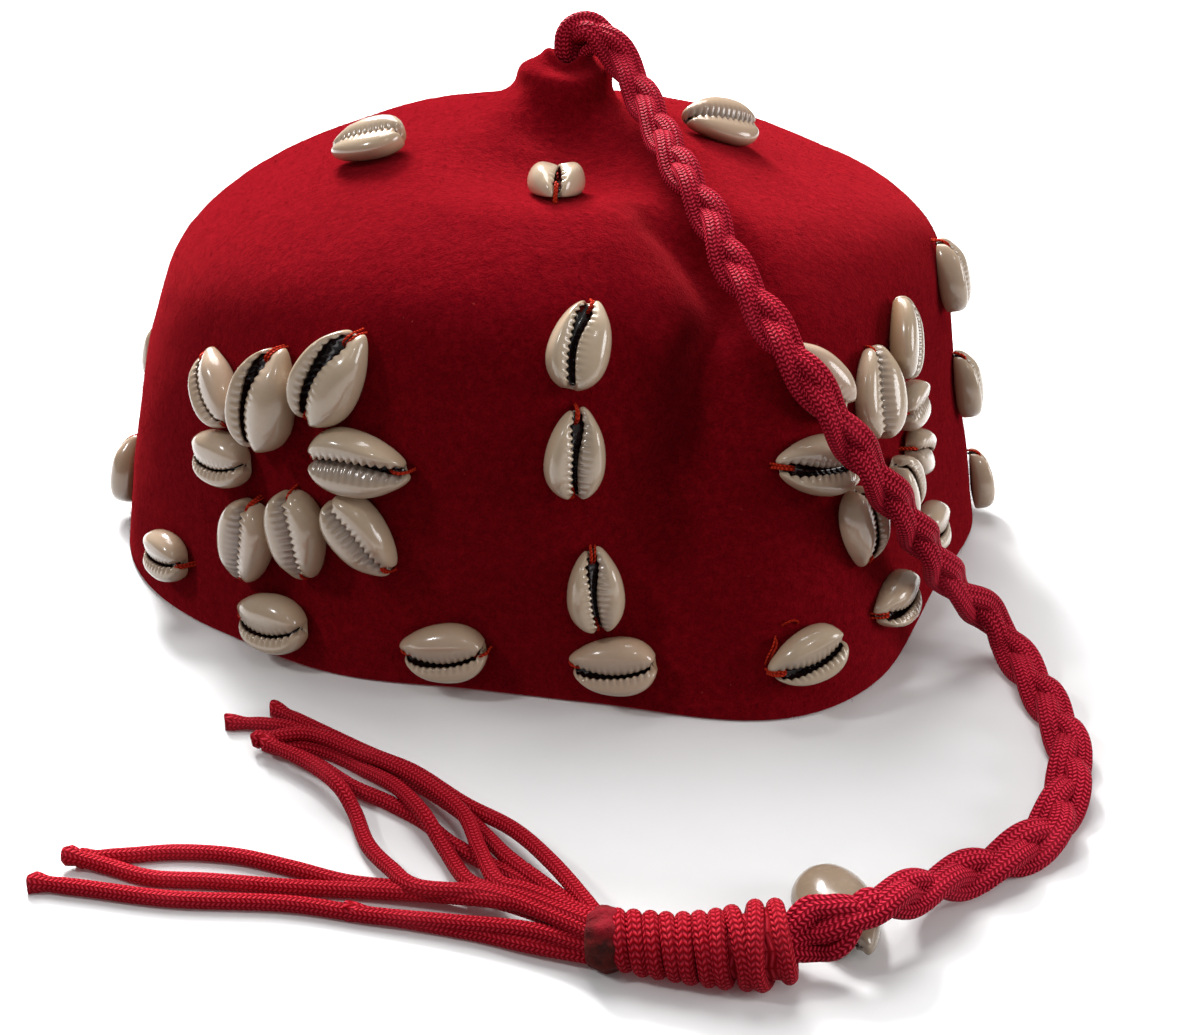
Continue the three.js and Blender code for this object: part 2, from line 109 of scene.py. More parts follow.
# A sharper crease runs from the crown down the front right, steep on its left side
CREASE = [  # angle, down, depth
    (19, 47, 0), (21.5, 55.5, 2.4), (23.6, 61.5, 3.8), (24.2, 66, 4.5), (24.3, 70.5, 5),
    (24, 75, 5.3), (22.8, 79.5, 5.3), (20.8, 83, 5.2), (19.3, 87, 5), (18.5, 91, 4.8),
    (17.8, 94.5, 4.5), (17.3, 98, 4.1), (16.3, 102, 3.6), (14.8, 106, 2.9), (12.8, 113, 1.9),
    (11.5, 124, 0.7), (10.5, 136, 0),
]
CREASE_LEFT = 8.5
CREASE_RIGHT = 16
CREASE_SOFTENING = (-0.9, 0, 0.9)
CREASE_DEEPEST = 5.3
CREASE_SHADE_ASIDE = -3.2  # painted shade: the felt is drawn darker on the steep side of the crease
CREASE_SHADE_WIDTH = 4.4

# The nub is a soft bulb, steep on its right side, and the edge of its mouth dips at the front
NUB_BULGE = 0.7
NUB_BULGE_DOWN = 5
NUB_BULGE_REACH = 2.6
NUB_ROUND = 1.2
NUB_ROUND_REACH = 3
NUB_LIP_REACH = 8
NUB_LIPS = [  # angle, spread, rise
    (-5, 75, -2.2),
    (-80, 70, 0.2),
    (72, 42, -0.4),
    (180, 100, -0.8),
]
NUB_SIDES = [  # angle, spread, down, reach, outward
    (90, 72, 11, 9, -2.6),
    (-82, 60, 15, 8, 0.5),
    (-60, 70, 5, 4, 0.5),
    (0, 70, 8, 5, 0.9),
    (0, 60, 16, 7, -1.3),
]

# Cowries: "turn" is where the narrow end points, 0 up the felt and 90 to the right. "Gap" is how
# wide the slit stands open, "hollow" how deep and grey the ribbed side beside it is, "bow" how far
# the slit bends to the toothed lip, and "tan" how brown the shell is near the felt. "Roll" is how far
# a shell with a round back leans over towards its toothed lip.
SHELL_WIDTH = 0.66
SHELL_HEIGHT = 0.36
SHELL_TAPER = 0.18
HEIGHT_TAPER = 0.1
SHELL_SEAT = 0.2
ROLL_LIFT = 0.03  # of the length, for a shell that leans right over
Back = namedtuple("Back", "foot side_level side_turns sharper end_lift")  # the form under the slit
FLAT_BACK = Back(0.72, 0.36, (-90, -62, -38, -18), 0.5, 0.3)
ROUND_BACK = Back(0, 0.72, np.linspace(-86, -10, 10), 0.1, 0.4)
SHELL_STATIONS = 92
BACK_STATIONS = 60
TEETH = 13
# Tan and the rib grey are the shell's own colours; the dark between the teeth and ribs and the near black
# inside the slit are painted shade
SHELL_TONES_AND_SHADES = {
    "tan": (0.32, 0.19, 0.1, 1),
    "rib": (0.26, 0.21, 0.19, 1),
    "painted_groove_shade": (0.19, 0.12, 0.08, 1),
    "inside": (0.012, 0.001, 0.001, 1),
}
Shell = namedtuple(
    "Shell",
    "angle down turn length gap hollow bow tan sink roll",
    defaults=(0.8, 0.3, 0.24, 0.3, 0, 0),
)
SHELLS = {  # by group, with the numbers or the names that follow the group's
    "top_shell": {
        "front": Shell(-1, 40, 180, 16.2, 0.9, 0.1, 0.1, sink=-0.2),
        "right": Shell(73, 31.4, -36, 16.4, 0.5, 0.9, 0.1, 1.5, roll=26),
        "back": Shell(178, 38, 180, 16.5),
        "left": Shell(-61.5, 40.8, 228, 16.4, 0.5, 0.4, 0.1, 0.9, roll=14),
    },
    "front_column_shell": [
        Shell(3.1, 83.4, 22, 16, 1.5, 0.05, 0.3),
        Shell(2.3, 102.3, 7, 15.8, 1.3, 0.5, 0.12),
        Shell(5, 129, -2, 15.4, 1.25, 0.5, 0.12),
    ],
    "right_column_shell": [
        Shell(75.5, 89.2, 0, 15.3, tan=0.7, sink=0.3),
        Shell(82, 117.4, -4, 15, tan=0.9),
        Shell(87.5, 144, 3, 14, tan=0.7),
    ],
    "back_column_shell": [
        Shell(178, 82, 3, 16),
        Shell(178, 101, -3, 16),
        Shell(177, 124, 0, 16),
    ],
    "left_column_shell": [
        Shell(-114, 95, 0, 15.5),
        Shell(-99, 119, 4, 15.5, tan=0.5),
        Shell(-88, 141.4, -3, 16, tan=1.6),
    ],
    "left_flower": {
        "upper_left": Shell(-47.4, 100.3, -38, 15.2, 0.7, 0, 0.3),
        "top": Shell(-37.9, 98.9, 9, 19.4, 1.4, 0.1, 0.28, 0.5),
        "upper_right": Shell(-28, 92, 27, 18.7, 1.65, 0.1, 0.28),
        "left": Shell(-46.3, 113.2, -90, 15.7, 0.8, 0.1, 0.3),
        "right": Shell(-24.2, 107, 94, 18.5, 0.95, 1, 0.2),
        "lower_left": Shell(-41.9, 128.8, -168, 17.6, 0.3, 0.9, 0.2, 0.5),
        "bottom": Shell(-33.8, 124.4, 173, 17.8, 0.3, 0.9, 0.2, 0.5),
        "lower_right": Shell(-24.6, 121.5, 143, 17.2, 0.35, 0.9, 0.2),
    },
    "right_flower": {
        "upper_left": Shell(32.6, 93, -35, 16.2, 0.5, 0.2),
        "top": Shell(42.5, 99, 20, 17.3, 0.5, 0.6, 0.25, 0.6, 0.7, 12),
        "upper_right": Shell(50.6, 91.8, 22, 15.8, 0.5, 0.8, -0.1, 1.3, roll=-14),
        "left": Shell(31.2, 107.4, -80, 16.6, 1.2, 0.5, 0.2, sink=0.5),
        "right": Shell(53, 106, 92, 14, 0.5, 0.5),
        "lower_left": Shell(36.3, 120.6, 178, 14.8, 1.0, 0.1),
        "bottom": Shell(46.5, 120, 160, 15, 0.9, 0.4),
        "lower_right": Shell(55, 117.5, 120, 14, 0.7, 0.4),
    },
    "rim_shell": [
        Shell(-58.2, 139.7, -90, 14.6, 0.9, tan=0.6),
        Shell(-38.1, 143.8, -93, 16.8, 0.85, 0.2, 0.3, 0.8),
        Shell(-14.2, 143.4, -97, 16.4, 0.9, tan=0.8),
        Shell(7.5, 143.4, -95, 15.9, 0.85, tan=0.9),
        Shell(27.4, 140.4, -106, 14.8, 1.1, 0.4, 0.3, 0.6),
        Shell(42, 138.4, -90, 14.8, 1.0, 0.2, tan=0.6, sink=0.6),
        Shell(59, 136, -82, 15),
    ],
}
BACK_RIM_FIRST = 8
BACK_RIM_COUNT = 7
BACK_RIM_STEP = 19
BACK_RIM_SHELL = Shell(180, 142, -90, 16.5)
BACK_FLOWERS = {"back_left_flower": (-138, 108), "back_right_flower": (132, 108)}  # angle, down
BACK_PETAL_LENGTH = 18.5
BACK_PETALS = [  # across, below, turn
    (-11.3, -13.2, -8), (0, -14.4, 0), (11.3, -13.2, 8), (-11.8, 0, -90),
    (11.8, 0, 90), (-11.3, 13.2, 188), (0, 14.4, 180), (11.3, 13.2, 172),
]
SHELL_SEED = 100
BACK_SHELL_SEED = 500
BACK_SEEDS = 20  # for each flower at the back
STITCH_SEED = 300
BACK_STITCH_SEED = 600
THREAD_DIAMETER = 0.42
THREAD_STEP = 0.45
THREAD_SIDES = 6
STITCH_STRANDS = 3
STITCH_DEPTH = 0.7
BARE_ENDS = 0.45  # share of the broad ends that show no thread
STITCHED_ROLL = 13  # a shell that leans over further shows no thread
STITCH_ROUTE = [  # shares of the length and the reach, place aside, shares of the aside and the rise
    (0.34, 0, 0.4, 0.8, 0),
    (0.4, 0, 0.25, 1, 1),
    (0.45, 0, 0.15, 1, 1),
    (0.49, 0, 0.1, 1.1, 0),
    (0.5, 0.4, 0, 1.2, 0),
]
STITCH_LEVELS = {  # as shares of the shell's height, over its narrow end and over its broad one
    1: (0.36, 0.5, 0.44, 0.26, 0.06),
    -1: (0.36, 0.56, 0.56, 0.38, 0.12),
}
LOOSE_THREADS = [  # angle, down, and how far out of the felt
    [(25.2, 135.2, -0.3), (25.7, 134.2, 1), (26.4, 133.9, 1.2), (27, 134.4, 0.7), (27.1, 135.2, -0.3)],
    [(23.2, 141.6, 0.2), (23.4, 140, 1.3), (23.9, 138.4, 1.6), (24.3, 137.2, 0.9), (24.6, 136.6, -0.3)],
    [(23.6, 141, 0.3), (23.9, 139.2, 1.9), (24.4, 137.8, 1.5), (24.5, 136.9, -0.3)],
]

# Plait: three strands of two cords each
BRAID_PERIOD = 40
BRAID_PHASE = 0.017  # share of a period at the route's start
BRAID_SWING = 1.75
BRAID_RISE = 1.45
BRAID_CORD = 2.9
BRAID_PAIR = 1.25
BRAID_SINK = 0.6
BRAID_SINK_WAY = (8, 25)
BRAID_SIDES = 16
CORD_SLANT = 0.55  # of the stitches in a braided cord
BRAID_STEP = 0.75
BRAID_SHARES = [  # number of the route's point, and the plait's share of its full width there
    (0, 0.65), (2, 0.8), (5, 0.95), (8, 0.85), (14, 0.95), (18, 1),
    (23, 1), (25, 1.05), (28, 0.75), (30, 0.85), (32, 0.9),
]
BRAID_ROUTE = [
    (3, 0, 93.5), (3, 0, 99), (2.8, -0.2, 103.2), (4, -0.8, 106.5),
    (7.4, -2.4, 108), (11.3, -5, 105.6), (15.4, -10.5, 100.2), (19.6, -23.5, 94),
    (23.6, -42, 88.8), (28, -53, 83.4), (31, -62.8, 77.8), (35.3, -70.9, 72.4),
    (39.8, -78.5, 66.8), (44.4, -83.2, 61), (49.6, -84.3, 53.8), (55.3, -83.4, 45.8),
    (61.7, -80.2, 36.8), (68.5, -74.8, 26.4), (76, -70, 15.6), (82.6, -67.8, 9.4),
    (86, -69.4, 5), (87.8, -78.8, 3.5), (88.6, -91, 3.5), (88, -104, 3.5),
    (84, -115.5, 3.5), (77.6, -126, 3.5), (69, -132.8, 3.6), (61.7, -137, 4.2),
    (55, -142, 6), (48.5, -147.6, 8.6), (42.8, -151.8, 9.5), (38.4, -154.4, 7.6),
    (34.6, -154.5, 6.8),
]
BRAID_FACING = [  # number of the route's point, and where the plait's flat side faces there
    (0, (0, -1, 0.2)),
    (5, (0.1, -0.9, 0.5)),
    (8, (0.25, -0.45, 0.85)),
    (12, (0.25, -0.8, 0.55)),
    (16, (0.1, -0.85, 0.5)),
    (19, (0.05, -0.75, 0.65)),
    (22, (0, -0.35, 0.95)),
    (28, (0, 0, 1)),
    (32, (0, -0.25, 1)),
]
LOOP_STRAND = [  # one strand's cord stands out of the plait, inside the loop over the nub
    (5, -0.8, 99.6), (6.2, -1.5, 102.2), (7.8, -2.8, 104.1), (9.8, -4.4, 103.5), (12, -6.4, 101.4),
]
SPLIT_LENGTH = 13  # near its end the plait opens, and each strand goes its own way into the binding
SPLIT_BLEND = 5
SPLIT_ROUTES = [
    [(45.7, -149.7, 9.6), (42.4, -150.8, 10), (39, -151.4, 9.9), (36.4, -151.2, 9.6), (34.8, -152, 8.8),
     (33.2, -153, 7.6), (30, -153.8, 6.8)],
    [(45.7, -150, 9), (42, -152.4, 9), (39.4, -153.2, 8), (37.4, -153, 7.1), (35.4, -152.8, 6.7),
     (33, -153.6, 6.4), (30, -154, 6.4)],
    [(45.4, -149.9, 8.6), (42.2, -152.7, 7.8), (40.6, -153.6, 6), (39, -153.6, 4.5), (37, -153.2, 4.1),
     (34.6, -153.6, 4.4), (32.6, -154, 5.2), (30, -154, 6)],
]
KNOT_PLACE = (3, 0, 88.6)
KNOT_SIZE = 1.75
KNOT_CORD = 3
KNOT_POINTS = 120
KNOT_SIDES = 14

# Cowrie on the cord, with its smooth back up
CORD_SHELL_PLACE = (42, -143.2, 0.2)
CORD_SHELL_TURN = -78
CORD_SHELL_LENGTH = 18.2
CORD_SHELL_HEIGHT = 6
CORD_SHELL_LIFT = 0.8  # of its ends
CORD_SHELL_SEED = 901

# Binding, collar and tassel
BINDING_START = (33.7, -154.4, 6.7)
BINDING_END = (8.8, -151.6, 4.8)
BINDING_TURNS = [  # radius, how far the turn leans along the binding, and its share of the length
    (5.9, 0.4, 2.9), (6.5, -0.9, 2.9), (6, 0.7, 2.7), (5.6, -0.2, 2.3), (5.3, 0.2, 2.2),
    (5.05, -0.2, 2.2), (4.8, 0.2, 2.2), (4.7, -0.1, 2.2), (4.65, 0.1, 2.2), (4.35, 0, 2.2),
]
BINDING_SAG = (0, -1.2, -0.5)  # of its middle, out of the line from end to end
BINDING_CORD = 2.6
BINDING_SIDES = 16
TURN_POINTS = 28
CORE_DEPTH = 1.4
CORE_SIDES = 20
COLLAR_START = 0.9  # inside the binding
COLLAR_LENGTH = 5.2
COLLAR_STATIONS = 24
COLLAR_RADII = [3.9, 4.3, 4.5, 4.3, 3.9, 3.2]
COLLAR_LOBES = 9
STRAND_DIAMETER = 2.5
STRAND_SIDES = 16
STRAND_STEP = 0.7
STRAND_LEVEL = 1.4  # of a point on the table, which has no height in the routes
STRANDS = [  # how the end looks, and the route
    ("knob", [(6.8, -153, 4.4), (-3, -148.1, 3.4), (-14.7, -144.8, 2.2), (-26.8, -142.2, 1.5),
        (-39, -139.4), (-57.3, -138), (-70, -135.5), (-78.9, -133.8)]),
    ("knob", [(6.8, -151.2, 6.4), (-3, -144.6, 5), (-15, -140.1, 3.2), (-27.3, -137.1, 1.8),
        (-39.6, -135.6), (-52, -134), (-61.4, -133.1), (-68.1, -130.6, 1.6),
        (-75.1, -128.6, 2.4)]),
    ("knob", [(6.8, -150.6, 4.2), (-9, -140.5, 2.8), (-21.3, -136.6, 1.6), (-31.2, -134.6),
        (-40.2, -131.1), (-49.4, -128), (-58.4, -127), (-65.7, -127.7),
        (-73.4, -128.4)]),
    ("cut", [(6.8, -152.6, 2.4), (-3.5, -149.1, 1.8), (-10.6, -146.2), (-20.7, -143.4),
        (-29.8, -141.2)]),
    ("cut", [(6.8, -149.2, 6.2), (-0.1, -134.3, 4.4), (-6.4, -124, 3), (-14.4, -116.1, 2),
        (-23.7, -106.1, 1.5), (-30.9, -101.2), (-38.5, -95.5), (-49.6, -86.9)]),
    ("cut", [(6.8, -149.4, 4.8), (-0.7, -139.5, 4), (-6.9, -130.9, 2.8), (-10.9, -123.7, 1.8),
        (-15, -117.4), (-23.5, -108.9), (-30.6, -103.8), (-38.1, -98.6),
        (-46.6, -92.6), (-56.9, -90.9)]),
    ("knob", [(6.8, -150.4, 7), (-3.6, -142, 5.4), (-7.9, -139.1, 4.6), (-11.2, -130.7, 4),
        (-14.1, -121.6, 3.9), (-19, -115, 3.9), (-26.1, -108.1, 3.8), (-33.4, -103.1, 3.6),
        (-42.2, -98, 3.6), (-51.6, -97.9, 2.4)]),
    ("cut", [(6.8, -151.8, 7.2), (-6, -141.4, 4.6), (-12.1, -137.2, 3), (-17, -127.6, 2.4),
        (-20.5, -121.4, 3.9), (-25.8, -112.6, 3), (-31.8, -105.8, 1.6), (-39.3, -100),
        (-48.7, -97.1)]),
    ("cut", [(6.8, -152.8, 6.4), (-9, -141.4, 4.4), (-20.4, -138.7, 3.8), (-24.6, -132.9, 2.4),
        (-29, -125.8, 1.5), (-32.1, -117.7, 2), (-34.8, -113.7, 3.8), (-41, -106.4, 3.6),
        (-48.8, -100, 3)]),
    ("cut", [(6.8, -149.6, 3.2), (-1.3, -139.4, 3), (-9.3, -131.4, 1.6), (-16.5, -125),
        (-20.6, -120), (-26.9, -114.7), (-33.3, -110.3), (-40.1, -103.9),
        (-48.1, -98.3)]),
]
Tip = namedtuple("Tip", "swell swell_at swell_reach waist waist_at waist_reach horns")
TIPS = {"knob": Tip(0.32, 0.7, 1.2, 0.08, 3.2, 1, 0.4), "cut": Tip(0.22, 0, 1.4, 0.12, 3, 1.4, 1.1)}
KNOB_CLOSE = 0.72
KNOB_LENGTH = 0.1
WISP_ROUTE = [(-77.2, -133.4, 1), (-77.9, -134.2, 0.75), (-78.5, -134.8, 0.6), (-79.1, -135.1, 0.55)]
WISP_DIAMETER = 0.9


# Curves

def unit(vectors):
    return vectors / np.linalg.norm(vectors, axis=-1, keepdims=True)


def smooth_step(low, high, value):
    share = np.clip((value - low) / (high - low), 0, 1)
    return share * share * (3 - 2 * share)


def smooth_curve(points, per_span=40):
    """A smooth curve through all the points."""
    points = np.array(points, float)
    padded = np.vstack([2 * points[0] - points[1], points, 2 * points[-1] - points[-2]])
    way = np.linspace(0, 1, per_span, endpoint=False)[:, None]
    spans = []
    for p0, p1, p2, p3 in zip(padded, padded[1:], padded[2:], padded[3:]):
        d0, d1, d2 = (math.sqrt(math.dist(a, b)) for a, b in ((p0, p1), (p1, p2), (p2, p3)))
        m1 = d1 * ((p1 - p0) / d0 - (p2 - p0) / (d0 + d1) + (p2 - p1) / d1)
        m2 = d1 * ((p2 - p1) / d1 - (p3 - p1) / (d1 + d2) + (p3 - p2) / d2)
        cubic = 2 * p1 - 2 * p2 + m1 + m2
        square = -3 * p1 + 3 * p2 - 2 * m1 - m2
        spans.append(p1 + m1 * way + square * way**2 + cubic * way**3)
    return np.vstack([*spans, points[-1:]])


def ways(curve):
    """The way from the curve's start to each of its points."""
    return np.concatenate([[0], np.cumsum(np.linalg.norm(np.diff(curve, axis=0), axis=1))])


def along_curve(curve, places):
    """The curve's points at these ways from its start."""
    way = ways(curve)
    return np.stack([np.interp(places, way, column) for column in curve.T], 1)


def evened(curve, step):
    length = ways(curve)[-1]
    return along_curve(curve, np.linspace(0, length, max(2, round(length / step) + 1)))


# Mesh parts: points, quads, and for each quad's corners a place along and around

def grid_part(grid, wrap_rows=False, uv=None, values=None):
    """A closed part from rows of points. Each row closes on itself, and so may the whole."""
    rows, columns, _ = grid.shape
    row = np.arange(rows if wrap_rows else rows - 1)[:, None]
    column = np.arange(columns)[None, :]
    next_row = (row + 1) % rows
    next_column = (column + 1) % columns
    corners = [row * columns + column, row * columns + next_column]
    corners += [next_row * columns + next_column, next_row * columns + column]
    quads = np.stack(corners, -1).reshape(-1, 4)
    if not wrap_rows:
        quads = np.vstack([quads, end_caps(rows, columns)])
    corner_uv = np.zeros((len(quads), 4, 2))
    if uv is not None:
        corner_uv[: len(uv)] = uv
    return {"points": grid.reshape(-1, 3), "quads": quads, "uv": corner_uv, "values": values or {}}


def end_caps(rows, columns):
    """Quads that close the first and the last row, like the rungs of a ladder."""
    rung = np.arange(columns // 2 - 1)[:, None]
    first = np.hstack([rung + 1, rung, columns - 1 - rung, columns - 2 - rung])
    return np.vstack([first, first[:, ::-1] + (rows - 1) * columns])


def tube_part(path, radius, sides, facing=None):
    """A round tube along the path, with uv as metres along it and the share of a turn around it."""
    path = np.asarray(path, float)
    radius = np.broadcast_to(radius, len(path))
    along = unit(np.gradient(path, axis=0))
    side, up = carried_frames(along) if facing is None else faced_frames(along, facing)
    turn = np.linspace(0, 2 * np.pi, sides, endpoint=False)
    spokes = side[:, None] * np.cos(turn)[None, :, None] + up[:, None] * np.sin(turn)[None, :, None]
    grid = path[:, None] + spokes * radius[:, None, None]
    way = ways(path) * MM
    share = np.arange(sides + 1) / sides
    corner = np.zeros((len(path) - 1, sides, 4, 2))
    corner[:, :, 0, 0] = corner[:, :, 1, 0] = way[:-1, None]
    corner[:, :, 2, 0] = corner[:, :, 3, 0] = way[1:, None]
    corner[:, :, 0, 1] = corner[:, :, 3, 1] = share[:-1]
    corner[:, :, 1, 1] = corner[:, :, 2, 1] = share[1:]
    return grid_part(grid, uv=corner.reshape(-1, 4, 2))


def carried_frames(along):
    """Side and up directions that turn as little as possible along a curve."""
    up = np.zeros_like(along)
    start = np.array([0, 0, 1.0]) if abs(along[0, 2]) < 0.9 else np.array([0, -1.0, 0])
    for i, direction in enumerate(along):
        start = unit(start - direction * (start @ direction))
        up[i] = start
    return np.cross(along, up), up


def faced_frames(along, facing):
    side = unit(np.cross(along, facing))
    return side, np.cross(side, along)


def joined(parts):
    starts = np.cumsum([0] + [len(part["points"]) for part in parts])
    names = parts[0]["values"]
    return {
        "points": np.vstack([part["points"] for part in parts]),
        "quads": np.vstack([part["quads"] + start for part, start in zip(parts, starts)]),
        "uv": np.vstack([part["uv"] for part in parts]),
        "values": {name: np.concatenate([part["values"][name] for part in parts]) for name in names},
    }


def facing_out(part):
    a, b, c = (part["points"][part["quads"][:, i]] for i in range(3))
    if np.einsum("ij,ij->i", a, np.cross(b, c)).sum() < 0:
        part["quads"] = part["quads"][:, ::-1]
        part["uv"] = part["uv"][:, ::-1]
    return part


def placed(name, data):
    made = bpy.data.objects.new(name, data)
    bpy.context.scene.collection.objects.link(made)
    return made


def piece(name, part, material, node=None):
    """An object from a part in millimetres, on the cap's one body. It may stand for a node's solid."""
    mesh = bpy.data.meshes.new(name)
    quads = part["quads"]
    points = np.maximum(part["points"], (-np.inf, -np.inf, 0))  # nothing sinks into the table
    mesh.vertices.add(len(points))
    mesh.vertices.foreach_set("co", (points * MM).ravel())
    mesh.loops.add(quads.size)
    mesh.loops.foreach_set("vertex_index", quads.ravel().astype(np.int32))
    mesh.polygons.add(len(quads))
    mesh.polygons.foreach_set("loop_start", np.arange(0, quads.size, 4, dtype=np.int32))
    mesh.polygons.foreach_set("use_smooth", np.ones(len(quads), bool))
    layer = mesh.uv_layers.new(name="UVMap")
    layer.data.foreach_set("uv", part["uv"].ravel())
    for value_name, values in part["values"].items():
        mesh.attributes.new(value_name, "FLOAT", "POINT").data.foreach_set("value", values)
    mesh.update(calc_edges=True)
    mesh.materials.append(material)
    made = placed(name, mesh)
    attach(made, "root")
    if node:
        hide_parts(node)
    return made


# Materials

class Surface:
    """A material with one principled shader, and short ways to add nodes to it."""

    def __init__(self, name, **sockets):
        self.material = bpy.data.materials.new(name)
        self.material.use_nodes = True
        self.tree = self.material.node_tree
        self.shader = self.tree.nodes["Principled BSDF"]
        for socket, value in sockets.items():
            self.shader.inputs[socket.replace("_", " ")].default_value = value

    def give(self, socket, value):
        if isinstance(value, bpy.types.NodeSocket):
            self.tree.links.new(value, socket)
        else:
            socket.default_value = value

    def node(self, kind, inputs=None, **settings):
        made = self.tree.nodes.new(kind)
        for key, value in settings.items():
            setattr(made, key, value)
        for key, value in (inputs or {}).items():
            self.give(made.inputs[key], value)
        return made

    def math(self, operation, a, b=0.0):
        return self.node("ShaderNodeMath", {0: a, 1: b}, operation=operation).outputs[0]

    def mix(self, share, a, b):
        return self.node("ShaderNodeMix", {0: share, 6: a, 7: b}, data_type="RGBA").outputs[2]

    def part(self, value, low, high, most=1.0):
        """A share from nothing at the low value to the most at the high one."""
        inputs = {"Value": value, "From Min": low, "From Max": high, "To Max": most}
        return self.node("ShaderNodeMapRange", inputs).outputs[0]

    def noise(self, scale, detail, roughness):
        place = self.node("ShaderNodeTexCoord").outputs["Object"]
        inputs = {"Vector": place, "Scale": scale, "Detail": detail, "Roughness": roughness}
        return self.node("ShaderNodeTexNoise", inputs).outputs[0]

    def value(self, name):
        return self.node("ShaderNodeAttribute", attribute_name=name).outputs["Fac"]

    def bump(self, height, distance, strength, before=None):
        inputs = {"Height": height, "Distance": distance, "Strength": strength}
        if before is not None:
            inputs["Normal"] = before
        return self.node("ShaderNodeBump", inputs).outputs[0]

    def set(self, socket, value):
        self.give(self.shader.inputs[socket], value)


def felt_material():
    felt = Surface(
        "red_felt",
        Roughness=1,
        Specular_IOR_Level=0,
        Sheen_Weight=0.4,
        Sheen_Roughness=0.5,
        Sheen_Tint=(1, 0.05, 0.065, 1),
    )
    nap = felt.noise(2400, 4, 0.7)
    tufts = felt.noise(650, 4, 0.65)
    clouds = felt.noise(45, 3, 0.5)
    lint = felt.noise(1100, 0, 0.5)
    shade = felt.mix(felt.part(nap, 0.3, 0.7), (0.08, 0.0008, 0.003, 1), (0.21, 0.0022, 0.0072, 1))
    shade = felt.mix(felt.part(tufts, 0.45, 0.72, 0.5), shade, (0.28, 0.0055, 0.011, 1))
    shade = felt.mix(felt.part(clouds, 0.45, 0.7, 0.3), shade, (0.11, 0.0009, 0.0038, 1))
    shade = felt.mix(felt.part(lint, 0.88, 0.93, 0.4), shade, (0.45, 0.07, 0.06, 1))
    # Painted shade: the felt is darker on the steep side of the crease
    shade = felt.mix(felt.part(felt.value("painted_crease_shade"), 0, 1, 0.62), shade, (0.04, 0.0004, 0.0015, 1))
    felt.set("Base Color", shade)
    rough = felt.bump(tufts, 0.0005, 0.7)
    felt.set("Normal", felt.bump(nap, 0.00025, 0.9, rough))
    return felt.material


def shell_material(name, pale, pink):
    shell = Surface(
        name,
        Roughness=0.2,
        Specular_IOR_Level=0.5,
        Coat_Weight=0.4,
        Coat_Roughness=0.06,
        Subsurface_Weight=0.1,
        Subsurface_Radius=(0.0012, 0.0008, 0.0005),
        Subsurface_Scale=1,
    )
    clouds = shell.noise(140, 4, 0.55)
    specks = shell.noise(900, 3, 0.6)
    cream = shell.mix(shell.value("tint"), pale, pink)
    cream = shell.mix(shell.part(clouds, 0.4, 0.75, 0.4), cream, (0.48, 0.35, 0.22, 1))
    cream = shell.mix(shell.part(specks, 0.5, 0.8, 0.15), cream, (0.7, 0.56, 0.44, 1))
    # The shell's own tones, then painted shade between the teeth and ribs and inside the slit
    for value, colour in SHELL_TONES_AND_SHADES.items():
        cream = shell.mix(shell.value(value), cream, colour)
    shell.set("Base Color", cream)
    shell.set("Normal", shell.bump(shell.noise(500, 3, 0.5), 0.00005, 0.4))
    return shell.material


def cord_material(name, dark, light, rows=12, pitch=0.00075):
    """Braided cord: rows of slanting stitches, each row mirrored to the one beside it, with painted shade
    in the gaps and a painted pink sheen on the stitch tops.
    """
    cord = Surface(name, Roughness=0.5, Specular_IOR_Level=0.02)
    place = cord.node("ShaderNodeUVMap", uv_map="UVMap").outputs[0]
    split = cord.node("ShaderNodeSeparateXYZ", {0: place})
    row = cord.math("MULTIPLY", split.outputs[1], rows)
    across = cord.math("SUBTRACT", cord.math("FRACT", row), 0.5)
    mirrored = cord.math("MODULO", cord.math("FLOOR", row), 2.0)
    lean = cord.math("SUBTRACT", 1.0, cord.math("MULTIPLY", mirrored, 2.0))
    shift = cord.math("MULTIPLY", cord.math("MULTIPLY", across, lean), CORD_SLANT)
    stitch = cord.math("ADD", cord.math("DIVIDE", split.outputs[0], pitch), shift)
    wave = cord.math("SINE", cord.math("MULTIPLY", stitch, 2 * math.pi))
    lump = cord.math("MULTIPLY", cord.math("ADD", wave, 1.0), 0.5)
    crest = cord.math("COSINE", cord.math("MULTIPLY", across, math.pi))
    height = cord.math("MULTIPLY", lump, cord.math("POWER", crest, 0.6))
    yarn = cord.noise(2600, 3, 0.7)
    wear = cord.noise(60, 3, 0.5)
    # Painted shade and sheen: the gaps between stitches take the dark colour and the stitch tops the light
    # one
    shade = cord.mix(cord.part(height, 0.05, 0.8), dark, light)
    shade = cord.mix(cord.part(yarn, 0.4, 0.8, 0.3), shade, dark)
    pale = tuple(min(1, 1.2 * share + 0.01) for share in light[:3]) + (1,)
    shade = cord.mix(cord.part(wear, 0.5, 0.8, 0.3), shade, pale)
    cord.set("Base Color", shade)
    stitched = cord.bump(height, 0.00035, 0.9)
    cord.set("Normal", cord.bump(yarn, 0.00006, 0.5, stitched))
    return cord.material


